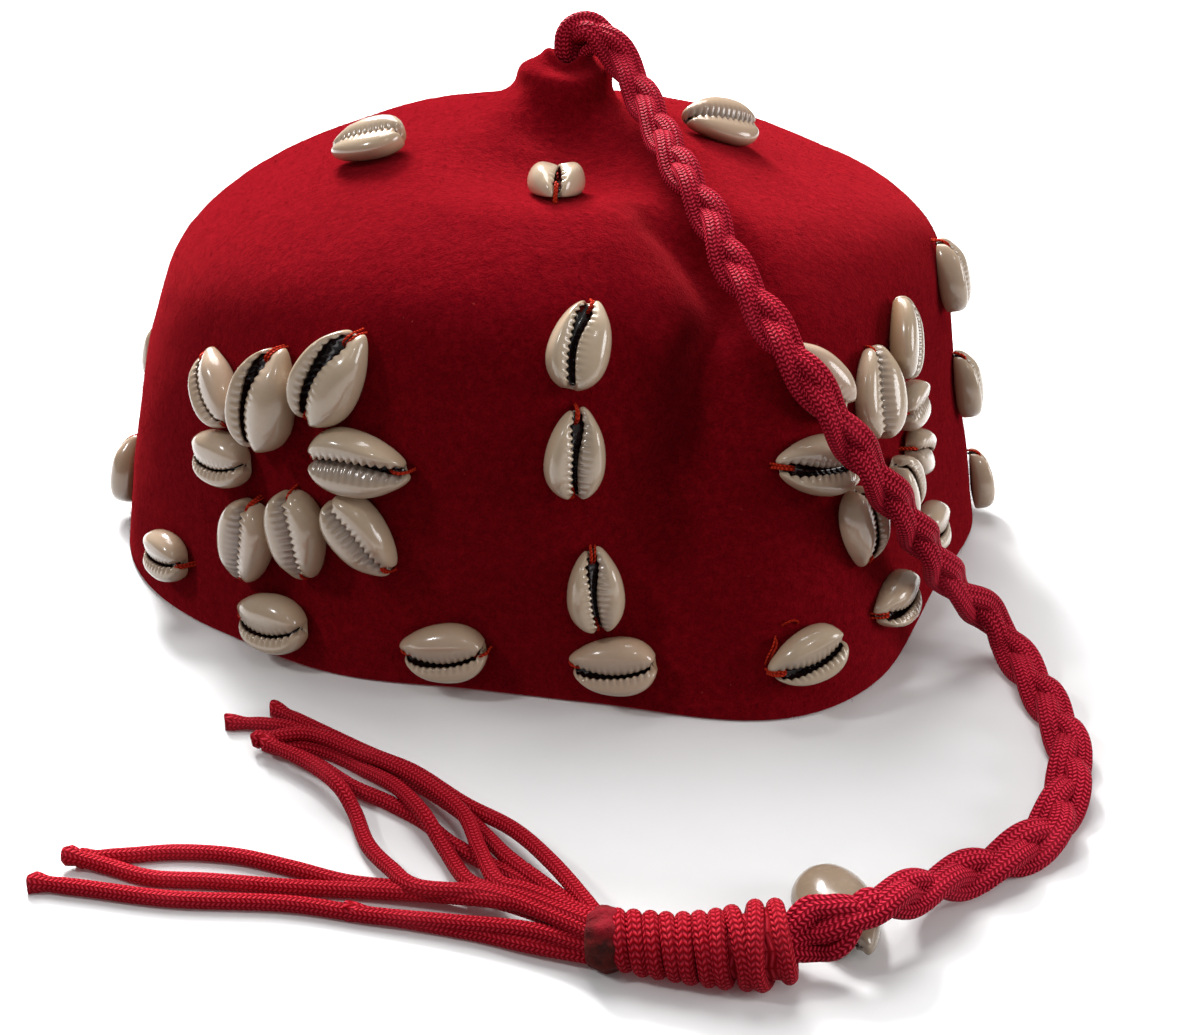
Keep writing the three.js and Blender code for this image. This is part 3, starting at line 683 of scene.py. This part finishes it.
def glue_material():
    """Cord ends under dry dark glue: darker towards the bottom, with the cord's red showing above a set
    height.
    """
    glue = Surface("glued_cord", Roughness=0.85, Specular_IOR_Level=0.15)
    lumps = glue.noise(500, 4, 0.6)
    place = glue.node("ShaderNodeTexCoord").outputs["Object"]
    height = glue.node("ShaderNodeSeparateXYZ", {0: place}).outputs[2]
    level = glue.math("ADD", height, glue.math("MULTIPLY", lumps, 0.004))
    dark = glue.mix(glue.part(lumps, 0.35, 0.7), (0.03, 0.005, 0.004, 1), (0.11, 0.012, 0.009, 1))
    glue.set("Base Color", glue.mix(glue.part(level, 0.0085, 0.0115), dark, (0.26, 0.005, 0.015, 1)))
    glue.set("Normal", glue.bump(lumps, 0.0009, 0.9))
    return glue.material


def floor_material():
    floor = Surface("pale_floor", Roughness=0.8, Specular_IOR_Level=0.2)
    grain = floor.noise(90, 4, 0.6)
    floor.set("Base Color", floor.mix(grain, (0.86, 0.86, 0.865, 1), (0.9, 0.9, 0.9, 1)))
    return floor.material


# Cap surface

profile_curve = smooth_curve(CAP_PROFILE)
profile_ways = ways(profile_curve)
FELT_LENGTH = profile_ways[-1]
RIM_EDGE = 0.3 * FELT_THICKNESS


def fade(distance, reach):
    return (1 + np.cos(np.pi * np.minimum(np.abs(distance) / reach, 1))) / 2


def turned_away(angle, other):
    return (angle - other + 900) % 360 - 180


def cap_point(angle, down):
    angle, down = np.broadcast_arrays(np.asarray(angle, float), np.asarray(down, float))
    radius = np.interp(down, profile_ways, profile_curve[:, 0])
    height = np.interp(down, profile_ways, profile_curve[:, 1])
    for fold in FOLDS:
        share = fade(turned_away(angle, fold.angle), fold.spread) * fade(down - fold.down, fold.reach)
        radius = radius + fold.outward * share
        height = height + fold.upward * share
    turn = np.radians(angle)
    shift = NUB_SHIFT * fade(down, NUB_SHIFT_REACH)
    return np.stack([shift + radius * np.sin(turn), -radius * np.cos(turn), height], -1)


def cap_frame(angle, down, step=1.0):
    """The felt's point there, and the directions across, up along the felt and out of it."""
    across = unit(cap_point(angle + step, down) - cap_point(angle - step, down))
    upward = unit(cap_point(angle, down - step) - cap_point(angle, down + step))
    outward = unit(np.cross(across, upward))
    return cap_point(angle, down), across, np.cross(outward, across), outward


def lumps(points, size, seed):
    """Soft unevenness from -1 to 1, about as wide as the size."""
    places = points / size + seed
    heights = [noise.noise(Vector(place)) for place in places.reshape(-1, 3)]
    return np.array(heights).reshape(points.shape[:-1])


def bell(distance, reach):
    return np.exp(-((distance / reach) ** 2))


crease_curve = smooth_curve(CREASE)


def crease_place(angle, down):
    """How far a place on the felt lies to the right of the crease, and how deep the crease is there."""
    centre, depth = (np.interp(down, crease_curve[:, 1], crease_curve[:, i]) for i in (0, 2))
    radius = np.interp(down, profile_ways, profile_curve[:, 0])
    return np.radians(turned_away(angle, centre)) * radius, depth


def crease_lift(aside, depth):
    """How far the felt sinks into the crease: steeply on its left, and in a long slope on its right."""
    share = 0
    for step in CREASE_SOFTENING:
        left = np.clip(1 + (aside + step) / CREASE_LEFT, 0, 1)
        right = np.clip(1 - (aside + step) / CREASE_RIGHT, 0, 1)
        share = share + np.minimum(left, right) ** 2
    return -depth * share / len(CREASE_SOFTENING)


def felt_surface():
    """The felt's outer and inner points from the nub to the rim, their directions, and the painted shade
    on the crease's steep side.
    """
    angle = np.arange(FELT_COLUMNS)[None, :] * 360 / FELT_COLUMNS
    rows = np.linspace(0, 1, FELT_ROWS)[:, None] ** ROW_CROWDING
    down = rows * (FELT_LENGTH - RIM_EDGE)
    point, _, upward, outward = cap_frame(angle, down, 0.6)
    uneven = sum(height * lumps(point, size, seed) for height, size, seed in FELT_LUMPS)
    uneven = uneven * smooth_step(0, 10, FELT_LENGTH - down)
    bulge = NUB_BULGE * bell(down - NUB_BULGE_DOWN, NUB_BULGE_REACH)
    bulge = bulge - NUB_ROUND * bell(down, NUB_ROUND_REACH)
    aside, depth = crease_place(angle, down)
    form = crease_lift(aside, depth) + bulge
    for side_angle, spread, side_down, reach, out in NUB_SIDES:
        form = form + out * fade(turned_away(angle, side_angle), spread) * fade(down - side_down, reach)
    outside = point + outward * (form + uneven)[..., None]
    inside = point + outward * (form + 0.6 * uneven - FELT_THICKNESS)[..., None]
    near_mouth = 1 - smooth_step(0, NUB_LIP_REACH, down)
    for lip_angle, spread, rise in NUB_LIPS:
        lift = rise * fade(turned_away(angle, lip_angle), spread) * near_mouth
        outside[..., 2] += lift
        inside[..., 2] += lift
    # Painted shade on the crease's steep side, strongest where the crease is deepest
    painted_crease_shade = depth / CREASE_DEEPEST * bell(aside - CREASE_SHADE_ASIDE, CREASE_SHADE_WIDTH)
    return outside, inside, upward, outward, painted_crease_shade


def felt_part(outside, inside, upward, outward, painted_crease_shade):
    turn = np.linspace(0, np.pi, RIM_STEPS + 2)[1:-1, None, None]
    middle = FELT_THICKNESS / 2
    rim = outside[-1] - outward[-1] * middle * (1 - np.cos(turn))
    rim[..., 2] = RIM_EDGE * (1 - np.sin(turn[..., 0]))
    mouth = inside[0] + outward[0] * middle * (1 - np.cos(turn)) + upward[0] * middle * np.sin(turn)
    lining = inside[np.linspace(FELT_ROWS - 1, 0, LINING_ROWS).round().astype(int)]
    grid = np.concatenate([outside, rim, lining, mouth])
    grid[..., 2] = np.maximum(grid[..., 2], 0)
    # Only the outer rows carry the painted crease shade
    shade = np.zeros(grid.shape[:2])
    shade[:FELT_ROWS] = painted_crease_shade
    return facing_out(grid_part(grid, wrap_rows=True, values={"painted_crease_shade": shade.ravel()}))


def fibre_part(outside, outward):
    """Loose wool fibres that stand off the felt. Each is a bent spindle with three sides."""
    random = np.random.default_rng(FIBRE_SEED)
    rows, columns, _ = outside.shape
    area = np.linalg.norm(np.diff(outside, axis=0), axis=-1)
    area = area * np.linalg.norm(outside[:-1, :, :2], axis=-1)
    cell = random.choice(area.size, FIBRES, p=(area / area.sum()).ravel())
    row, column = np.divmod(cell, columns)
    along, across = random.random((2, FIBRES, 1))

    def there(grid):
        left = grid[row, column] * (1 - along) + grid[row + 1, column] * along
        other = (column + 1) % columns
        right = grid[row, other] * (1 - along) + grid[row + 1, other] * along
        return left * (1 - across) + right * across

    normal = unit(there(outward))
    lie = random.normal(size=(FIBRES, 3))
    lie = unit(lie - normal * np.sum(lie * normal, 1, keepdims=True))
    lean = random.uniform(*FIBRE_LEANS, (FIBRES, 1))
    length = random.uniform(*FIBRE_LENGTHS, (FIBRES, 1))
    root = there(outside) - 0.05 * normal
    middle = root + unit(lie + lean * normal) * length * 0.5
    tip = middle + unit(lie + 0.4 * random.normal(size=(FIBRES, 3)) - 0.3 * lean * normal) * length * 0.5
    side = np.cross(normal, lie)
    corners = []
    for turn in np.radians([90, 210, 330]):
        corners.append(middle + FIBRE_WIDTH / 2 * (side * math.cos(turn) + normal * math.sin(turn)))
    points = np.stack([root, *corners, tip], 1)
    points[..., 2] = np.maximum(points[..., 2], 0.01)
    faces = np.array([[0, 2, 4, 1], [0, 3, 4, 2], [0, 1, 4, 3]])
    quads = (np.arange(FIBRES)[:, None, None] * 5 + faces).reshape(-1, 4)
    no_uv = np.zeros((len(quads), 4, 2))
    return {"points": points.reshape(-1, 3), "quads": quads, "uv": no_uv, "values": {}}


# Cowries

def cowrie_part(shell, height, stations, seed, back):
    """One cowrie: long axis on X with the narrow end at +X, base on z = 0 and the slit up."""
    random = np.random.default_rng(seed)
    length = shell.length
    t = np.sin(np.linspace(-0.5, 0.5, stations) * np.pi)
    round_off = np.maximum(1 - np.abs(t) ** 2.15, 1e-5) ** 0.5
    widest = 0.5 * SHELL_WIDTH * length
    half = widest * round_off * (1 - SHELL_TAPER * t)
    high = height * round_off ** (0.6 + back.sharper * smooth_step(-0.1, 0.9, t))
    high = high * (1 - HEIGHT_TAPER * t)
    lift = (height - high) * (back.end_lift - 0.2 * smooth_step(0, 1, t))

    # The slit, its teeth and the ribs beside it, with painted shade inside the slit and between the teeth
    # and ribs
    bow = shell.bow + random.uniform(-0.03, 0.03)
    slit = widest * (bow * (1 - t**2) + 0.05 * np.maximum(t, 0) ** 2 - 0.1 * np.minimum(t, 0) ** 2)
    slit = np.clip(slit, -0.45 * half, 0.45 * half)
    middle = smooth_step(1.02, 0.85, np.abs(t))
    narrow = smooth_step(-0.1, 0.85, t)
    opening = shell.gap * (0.62 + 0.55 * narrow) * (0.35 + 0.65 * middle)
    opening = np.minimum(opening, 0.42 * half)
    phase = random.uniform(0, 2 * np.pi)
    tooth = middle * (0.5 - 0.5 * np.cos(np.pi * TEETH * (t + 1) + phase + 0.5 * np.sin(3 * t + phase)))
    rib_wave = middle * (0.5 - 0.5 * np.cos(np.pi * (TEETH + 1) * (t + 1) + 2 * phase))

    def outer_side(sign):
        turns = np.radians(back.side_turns)
        reach = back.foot + (1 - back.foot) * np.cos(turns)
        level = back.side_level * (1 + np.sin(turns))
        return [(sign * half * share, high * up) for share, up in zip(reach, level)]

    def top_side(sign, dip, relief, bite, rib, painted_groove_shade, spread):
        """From the shell's side over its crest and down to the slit."""
        crest = 0.5
        edge = slit + sign * opening
        made = []
        for turn in np.radians(np.linspace(0, 90, 7)):
            y = sign * half + crest * (1 - math.cos(turn)) * (edge - sign * half)
            made.append((y, high * (back.side_level + (1 - back.side_level) * math.sin(turn))))
        for way in np.linspace(0, 1, 7)[1:]:
            share = crest + (1 - crest) * way
            y = sign * half + share * (edge - sign * half) - sign * bite * way**4
            z = high * (1 - dip * way**2) + relief * way**spread
            made.append((y, z, 0, rib * way**0.8, painted_groove_shade * way**spread))
        y, z = made[-1][:2]
        # Painted shade: the slit's inner walls are drawn near black
        made.append((y - sign * 0.1, z - 0.22, 0.25, rib, painted_groove_shade))
        made.append((y - sign * 0.05, z - 0.6, 1))
        made.append((y + sign * 0.25, high * 0.5, 1))
        return made

    # Groove shares are painted shade, darker between the ribs and between the teeth
    hollow = shell.hollow
    rib_height = 0.2 + 0.16 * hollow
    ribbed = {
        "dip": 0.1 + 0.22 * hollow,
        "relief": rib_height * (rib_wave - 0.5) * middle,
        "bite": 0.25 * rib_wave * (0.3 + 0.7 * narrow),
        "rib": 0.75 * hollow * middle,
        "painted_groove_shade": (1 - rib_wave) * middle * (0.3 + 0.3 * hollow),
        "spread": 0.8 + 3.5 * (1 - hollow) ** 2,
    }
    toothed = {
        "dip": 0.1,
        "relief": 0.32 * (tooth - 0.5) * middle,
        "bite": 0.4 * tooth,
        "rib": 0,
        "painted_groove_shade": (1 - tooth) * middle * 0.45,
        "spread": 2.2,
    }
    rows = outer_side(-1) + top_side(-1, **ribbed)
    rows += [(slit - 0.3 * opening, high * 0.35, 1), (slit + 0.3 * opening, high * 0.35, 1)]
    rows += (outer_side(1) + top_side(1, **toothed))[::-1]
    rows = [row + (0,) * (5 - len(row)) for row in rows]
    rows = [np.broadcast_arrays(t, *row)[1:] for row in rows]
    y, z, inside, rib, painted_groove_shade = (np.stack(values, 1).astype(float) for values in zip(*rows))
    low = 1 - smooth_step(0.1, 0.85, z / high[:, None])

    # Both ends are notched where the slit runs out, and the narrow end is drawn to a beak
    notch = bell(y - slit[:, None], 0.05 * length) * smooth_step(0.8, 1, np.abs(t))[:, None]
    x = 0.5 * length * t[:, None] - np.sign(t)[:, None] * 0.06 * length * notch
    beak = 0.03 * length * smooth_step(0.7, 1, t)[:, None] * (y < slit[:, None])
    z = lift[:, None] + z * (1 - 0.45 * notch * smooth_step(0.15, 0.7, z / high[:, None]))
    grid = np.stack([x + beak, y, z], -1)
    values = {
        "inside": inside,
        "rib": np.clip(rib, 0, 1),
        "painted_groove_shade": np.clip(painted_groove_shade, 0, 1),
        "tan": np.clip(0.2 * shell.tan + 0.6 * shell.tan * low, 0, 0.9),
        "tint": np.full(y.shape, random.uniform(0, 1)),
    }
    return facing_out(grid_part(grid, values={name: value.ravel() for name, value in values.items()}))


def seat(shell):
    """The matrix that sets a shell on the felt, in millimetres."""
    point, across, upward, outward = cap_frame(shell.angle, shell.down)
    turn = math.radians(shell.turn)
    narrow_end = upward * math.cos(turn) + across * math.sin(turn)
    side = np.cross(outward, narrow_end)
    roll = math.radians(shell.roll)
    rolled_side = side * math.cos(roll) - outward * math.sin(roll)
    rolled_outward = outward * math.cos(roll) + side * math.sin(roll)
    basis = np.stack([narrow_end, rolled_side, rolled_outward], 1)
    lift = ROLL_LIFT * shell.length * abs(math.sin(roll))
    return basis, point + outward * (SHELL_SEAT - shell.sink + lift)


def moved(part, basis, place):
    part["points"] = part["points"] @ basis.T + place
    return part


def cap_shell(shell, stations, seed):
    height = shell.length * SHELL_HEIGHT
    made = cowrie_part(shell, height, stations, seed, ROUND_BACK if shell.roll else FLAT_BACK)
    return moved(made, *seat(shell))


def thread_part(route):
    return tube_part(evened(smooth_curve(route, 8), THREAD_STEP), THREAD_DIAMETER / 2, THREAD_SIDES)


def stitch_parts(shell, seed):
    """Threads that hold a shell: out of the slit, over the notch at its end and into the felt."""
    random = np.random.default_rng(seed)
    length = shell.length
    height = length * SHELL_HEIGHT
    parts = []
    for end, levels in STITCH_LEVELS.items():
        if end < 0 and random.uniform() < BARE_ENDS:
            continue
        for _ in range(STITCH_STRANDS):
            aside = random.uniform(-0.4, 0.4)
            reach = random.uniform(0, 0.5)
            rise = random.uniform(-0.5, 0.2)
            route = []
            for level, (along, out, place, off, up) in zip(levels, STITCH_ROUTE):
                x = end * (along * length + out * reach)
                route.append((x, place + aside * off, level * height + up * rise))
            route.append((end * (0.5 * length + reach), aside * 1.4, -STITCH_DEPTH))
            parts.append(moved(thread_part(route), *seat(shell)))
    return parts


def loose_thread_parts():
    parts = []
    for route in LOOSE_THREADS:
        points = []
        for angle, down, out in route:
            point, _, _, outward = cap_frame(angle, down)
            points.append(point + outward * out)
        parts.append(thread_part(points))
    return parts


# Cords


def braid_parts():
    curve = smooth_curve(BRAID_ROUTE)
    way = ways(curve)
    points_apart = (len(curve) - 1) // (len(BRAID_ROUTE) - 1)
    marks = np.arange(len(curve)) / points_apart
    even = np.linspace(0, way[-1], round(way[-1] / BRAID_STEP) + 1)
    middle = along_curve(curve, even)
    numbers, directions = zip(*BRAID_FACING)
    marks = np.interp(even, way, marks)
    facing = np.stack([np.interp(marks, numbers, column) for column in zip(*directions)], 1)
    side, up = faced_frames(unit(np.gradient(middle, axis=0)), unit(facing))
    middle = middle - up * BRAID_SINK * smooth_step(*BRAID_SINK_WAY, even)[:, None]
    wide = np.interp(marks, *zip(*BRAID_SHARES))
    split = way[-1] - SPLIT_LENGTH
    apart = smooth_step(split, split + SPLIT_BLEND, even)[:, None]
    parts = []
    paths = []
    for strand, split_route in enumerate(SPLIT_ROUTES):
        turn = 2 * np.pi * (even / BRAID_PERIOD + strand / 3 + BRAID_PHASE)
        swing = wide * BRAID_SWING * np.sin(turn)
        rise = BRAID_RISE * np.sin(2 * turn)
        plaited = middle + side * swing[:, None] + up * rise[:, None]
        split_curve = smooth_curve(split_route)
        split_ways = np.clip((even - split) / SPLIT_LENGTH, 0, 1) * ways(split_curve)[-1]
        path = plaited * (1 - apart) + along_curve(split_curve, split_ways) * apart
        paths.append(path)
        for pair in (-0.5, 0.5):
            beside = path + side * (pair * wide * BRAID_PAIR)[:, None]
            parts.append(tube_part(beside, BRAID_CORD / 2, BRAID_SIDES, up))
    loop = evened(smooth_curve(LOOP_STRAND), BRAID_STEP)
    parts.append(tube_part(loop, BRAID_CORD / 2, BRAID_SIDES))
    return parts, np.mean(paths, axis=0)


def strand_part(end, route):
    points = [(*point, STRAND_LEVEL)[:3] for point in route]
    path = evened(smooth_curve(points), STRAND_STEP)
    left = ways(path)[-1] - ways(path)
    radius = np.full(len(path), STRAND_DIAMETER / 2)
    tip = TIPS[end]
    swell = tip.swell * bell(left - tip.swell_at, tip.swell_reach)
    radius *= 1 + swell - tip.waist * bell(left - tip.waist_at, tip.waist_reach)
    part = tube_part(path, radius, STRAND_SIDES)
    rings = part["points"].reshape(len(path), STRAND_SIDES, 3)
    turn = np.arange(STRAND_SIDES) / STRAND_SIDES * 2 * np.pi
    forward = unit(path[-1] - path[-2])
    horns = (0.5 - 0.5 * np.cos(2 * turn)) * tip.horns
    rings[-1] += forward * horns[:, None]
    if end == "knob":
        rings[-1] = path[-1] + KNOB_CLOSE * (rings[-1] - path[-1]) + forward * KNOB_LENGTH
    return part, path


def binding_axis():
    start = np.array(BINDING_START, float)
    end = np.array(BINDING_END, float)
    along = unit(end - start)
    side = unit(np.cross(along, (0, 0, 1)))
    return start, along, side, np.cross(side, along), math.dist(start, end)


def binding_parts():
    start, along, side, up, length = binding_axis()
    turns = len(BINDING_TURNS)
    radii, leans, widths = zip(*BINDING_TURNS)
    edges = np.cumsum([0, *widths]) * length / sum(widths)
    turn = np.linspace(0.02, turns - 0.02, turns * TURN_POINTS)
    radius = np.interp(turn - 0.5, np.arange(turns), radii) - BINDING_CORD / 2
    lean = np.interp(turn - 0.5, np.arange(turns), leans)
    angle = -2 * np.pi * turn
    spoke = side * np.cos(angle)[:, None] + up * np.sin(angle)[:, None]
    place = np.interp(turn, np.arange(turns + 1), edges) + lean * np.cos(angle)

    def middle(way):
        sag = np.sin(np.pi * np.clip(way / length, 0, 1))
        return start + along * way[:, None] + np.array(BINDING_SAG) * sag[:, None]

    wound = tube_part(middle(place) + spoke * radius[:, None], BINDING_CORD / 2, BINDING_SIDES)
    core_way = np.linspace(0.5, length, 24)
    core_radius = np.interp(core_way, np.linspace(0, length, turns), radii) - CORE_DEPTH
    core_radius[[0, -1]] *= 0.2
    core = tube_part(middle(core_way), core_radius, CORE_SIDES)
    return [wound, core]


def collar_part():
    """The strands side by side where glue holds them together."""
    start, along, _, _, length = binding_axis()
    way = np.linspace(0, COLLAR_LENGTH, COLLAR_STATIONS)
    radius = np.interp(way, np.linspace(0, way[-1], len(COLLAR_RADII)), COLLAR_RADII)
    radius[[0, -1]] *= 0.15
    radius[[1, -2]] *= 0.85
    sides = 6 * COLLAR_LOBES
    middle = start + along * (length - COLLAR_START + way)[:, None]
    part = tube_part(middle, radius, sides)
    spokes = part["points"].reshape(len(way), sides, 3) - middle[:, None]
    lobes = 1 + 0.05 * np.cos(2 * np.pi * COLLAR_LOBES * np.arange(sides) / sides)
    rough = 1 + 0.07 * lumps(part["points"], 2.2, 5.5).reshape(len(way), sides)
    grid = middle[:, None] + spokes * (lobes * rough)[..., None]
    part["points"] = grid.reshape(-1, 3)
    return part


def knot_part():
    turn = np.linspace(0, 2 * np.pi, KNOT_POINTS)
    x = np.sin(turn) + 2 * np.sin(2 * turn)
    y = np.cos(turn) - 2 * np.cos(2 * turn)
    path = np.array(KNOT_PLACE) + KNOT_SIZE * np.stack([x, y, -1.1 * np.sin(3 * turn)], 1)
    return tube_part(path, KNOT_CORD / 2, KNOT_SIDES)


# Camera

def make_camera():
    camera = bpy.data.cameras.new("camera")
    camera.lens = CAMERA_LENS
    camera.sensor_width = CAMERA_SENSOR
    camera.shift_y = CAMERA_SHIFT
    camera.clip_start = 0.01
    made = placed("camera", camera)
    turned = Matrix.Rotation(math.radians(-CAMERA_YAW), 4, "Z")
    turned = turned @ Matrix.Rotation(math.radians(90 - CAMERA_PITCH), 4, "X")
    turned = turned @ Matrix.Rotation(math.radians(CAMERA_ROLL), 4, "Z")
    made.matrix_world = Matrix.Translation(Vector(CAMERA_PLACE) * MM) @ turned
    bpy.context.scene.camera = made


make_camera()

felt = felt_material()
shell_gloss = shell_material("cowrie", (0.53, 0.42, 0.3, 1), (0.55, 0.4, 0.29, 1))
grey_gloss = shell_material("grey_cowrie", (0.28, 0.22, 0.155, 1), (0.3, 0.22, 0.16, 1))
# The light cord colours hold a painted sheen on the stitch tops, the dark ones a painted shade in the gaps
braid_cord = cord_material("braided_cord", (0.17, 0.001, 0.005, 1), (0.76, 0.034, 0.074, 1))
tassel_cord = cord_material("tassel_cord", (0.25, 0.0012, 0.0045, 1), (0.62, 0.03, 0.054, 1))
thread = cord_material("sewing_thread", (0.35, 0.012, 0.004, 1), (0.7, 0.05, 0.02, 1), 2, 0.0007)
glue = glue_material()

# Cord, binding and tassel
strands, braid_path = braid_parts()
braid = piece("plaited_cord", joined(strands), braid_cord, "braid")
binding = piece("wound_binding", joined(binding_parts()), tassel_cord, "binding")
collar = piece("glued_collar", collar_part(), glue, "tassel")
piece("hidden_knot", knot_part(), braid_cord, "cord_knot")

cord_turn = math.radians(CORD_SHELL_TURN)
narrow_end = np.array([math.cos(cord_turn), math.sin(cord_turn), 0])
down_side = np.array([0, 0, -1.0])
cord_basis = np.stack([narrow_end, np.cross(down_side, narrow_end), down_side], 1)
cord_place = np.array(CORD_SHELL_PLACE) + (0, 0, CORD_SHELL_HEIGHT)
cord_look = Shell(0, 0, CORD_SHELL_TURN, CORD_SHELL_LENGTH, tan=0.1)
cord_back = ROUND_BACK._replace(end_lift=CORD_SHELL_LIFT)
cord_cowrie = cowrie_part(cord_look, CORD_SHELL_HEIGHT, SHELL_STATIONS, CORD_SHELL_SEED, cord_back)
cord_cowrie = moved(cord_cowrie, cord_basis, cord_place)
cord_shell = piece("smooth_cord_shell", cord_cowrie, grey_gloss, "cord_shell")

for number, (end, route) in enumerate(STRANDS, 1):
    part, path = strand_part(end, route)
    if number == 1:
        part = joined([part, tube_part(evened(smooth_curve(WISP_ROUTE), 0.3), WISP_DIAMETER / 2, 10)])
    strand = piece(f"tassel_strand_{number}", part, tassel_cord, "tassel")

# Felt and shells
outside, inside, upward, outward, painted_crease_shade = felt_surface()
cap = felt_part(outside, inside, upward, outward, painted_crease_shade)
piece("soft_felt", cap, felt, "felt_cap")
piece("felt_fibres", fibre_part(outside, outward), felt)

sewn = {}
for group, shells in SHELLS.items():
    keyed = shells if isinstance(shells, dict) else dict(enumerate(shells, 1))
    sewn.update({f"{group}_{key}": shell for key, shell in keyed.items()})
for index in range(BACK_RIM_COUNT):
    angle = BACK_RIM_SHELL.angle + BACK_RIM_STEP * (index - (BACK_RIM_COUNT - 1) / 2)
    sewn[f"rim_shell_{BACK_RIM_FIRST + index}"] = BACK_RIM_SHELL._replace(angle=angle)
stitches = []
for number, (node, shell) in enumerate(sewn.items()):
    cowrie = cap_shell(shell, SHELL_STATIONS, SHELL_SEED + number)
    piece(f"{node}_cowrie", cowrie, shell_gloss, node)
    if abs(shell.roll) < STITCHED_ROLL:
        stitches += stitch_parts(shell, STITCH_SEED + number)
for flower, (node, (angle, down)) in enumerate(BACK_FLOWERS.items()):
    petals = []
    for number, (across, below, turn) in enumerate(BACK_PETALS):
        row = cap_point(angle, down + below)
        petal_angle = angle + math.degrees(across / math.hypot(row[0], row[1]))
        petal = Shell(petal_angle, down + below, turn, BACK_PETAL_LENGTH)
        seed = BACK_SEEDS * flower + number
        petals.append(cap_shell(petal, BACK_STATIONS, BACK_SHELL_SEED + seed))
        stitches += stitch_parts(petal, BACK_STITCH_SEED + seed)
    piece(f"{node}_cowries", joined(petals), shell_gloss, node)
piece("sewing_stitches", joined(stitches + loose_thread_parts()), thread)

# Floor and light

def make_floor():
    mesh = bpy.data.meshes.new("floor")
    corners = [(x * FLOOR_REACH, y * FLOOR_REACH, 0) for x, y in ((-1, -1), (1, -1), (1, 1), (-1, 1))]
    mesh.from_pydata(corners, [], [(0, 1, 2, 3)])
    mesh.materials.append(floor_material())
    made = placed("floor", mesh)
    made.visible_diffuse = False


def make_light(name, place, aim, size, power):
    lamp = bpy.data.lights.new(name, "AREA")
    lamp.shape = "DISK"
    lamp.size = size
    lamp.energy = power
    made = placed(name, lamp)
    made.location = place
    made.rotation_euler = (Vector(aim) - Vector(place)).to_track_quat("-Z", "Y").to_euler()


def make_world():
    world = bpy.data.worlds.new("studio")
    world.use_nodes = True
    background = world.node_tree.nodes["Background"]
    background.inputs["Color"].default_value = (1, 1, 1, 1)
    background.inputs["Strength"].default_value = WORLD_STRENGTH
    bpy.context.scene.world = world


make_floor()
make_world()
for lamp_row in LAMPS:
    make_light(*lamp_row)
bpy.context.scene.view_settings.view_transform = "Standard"
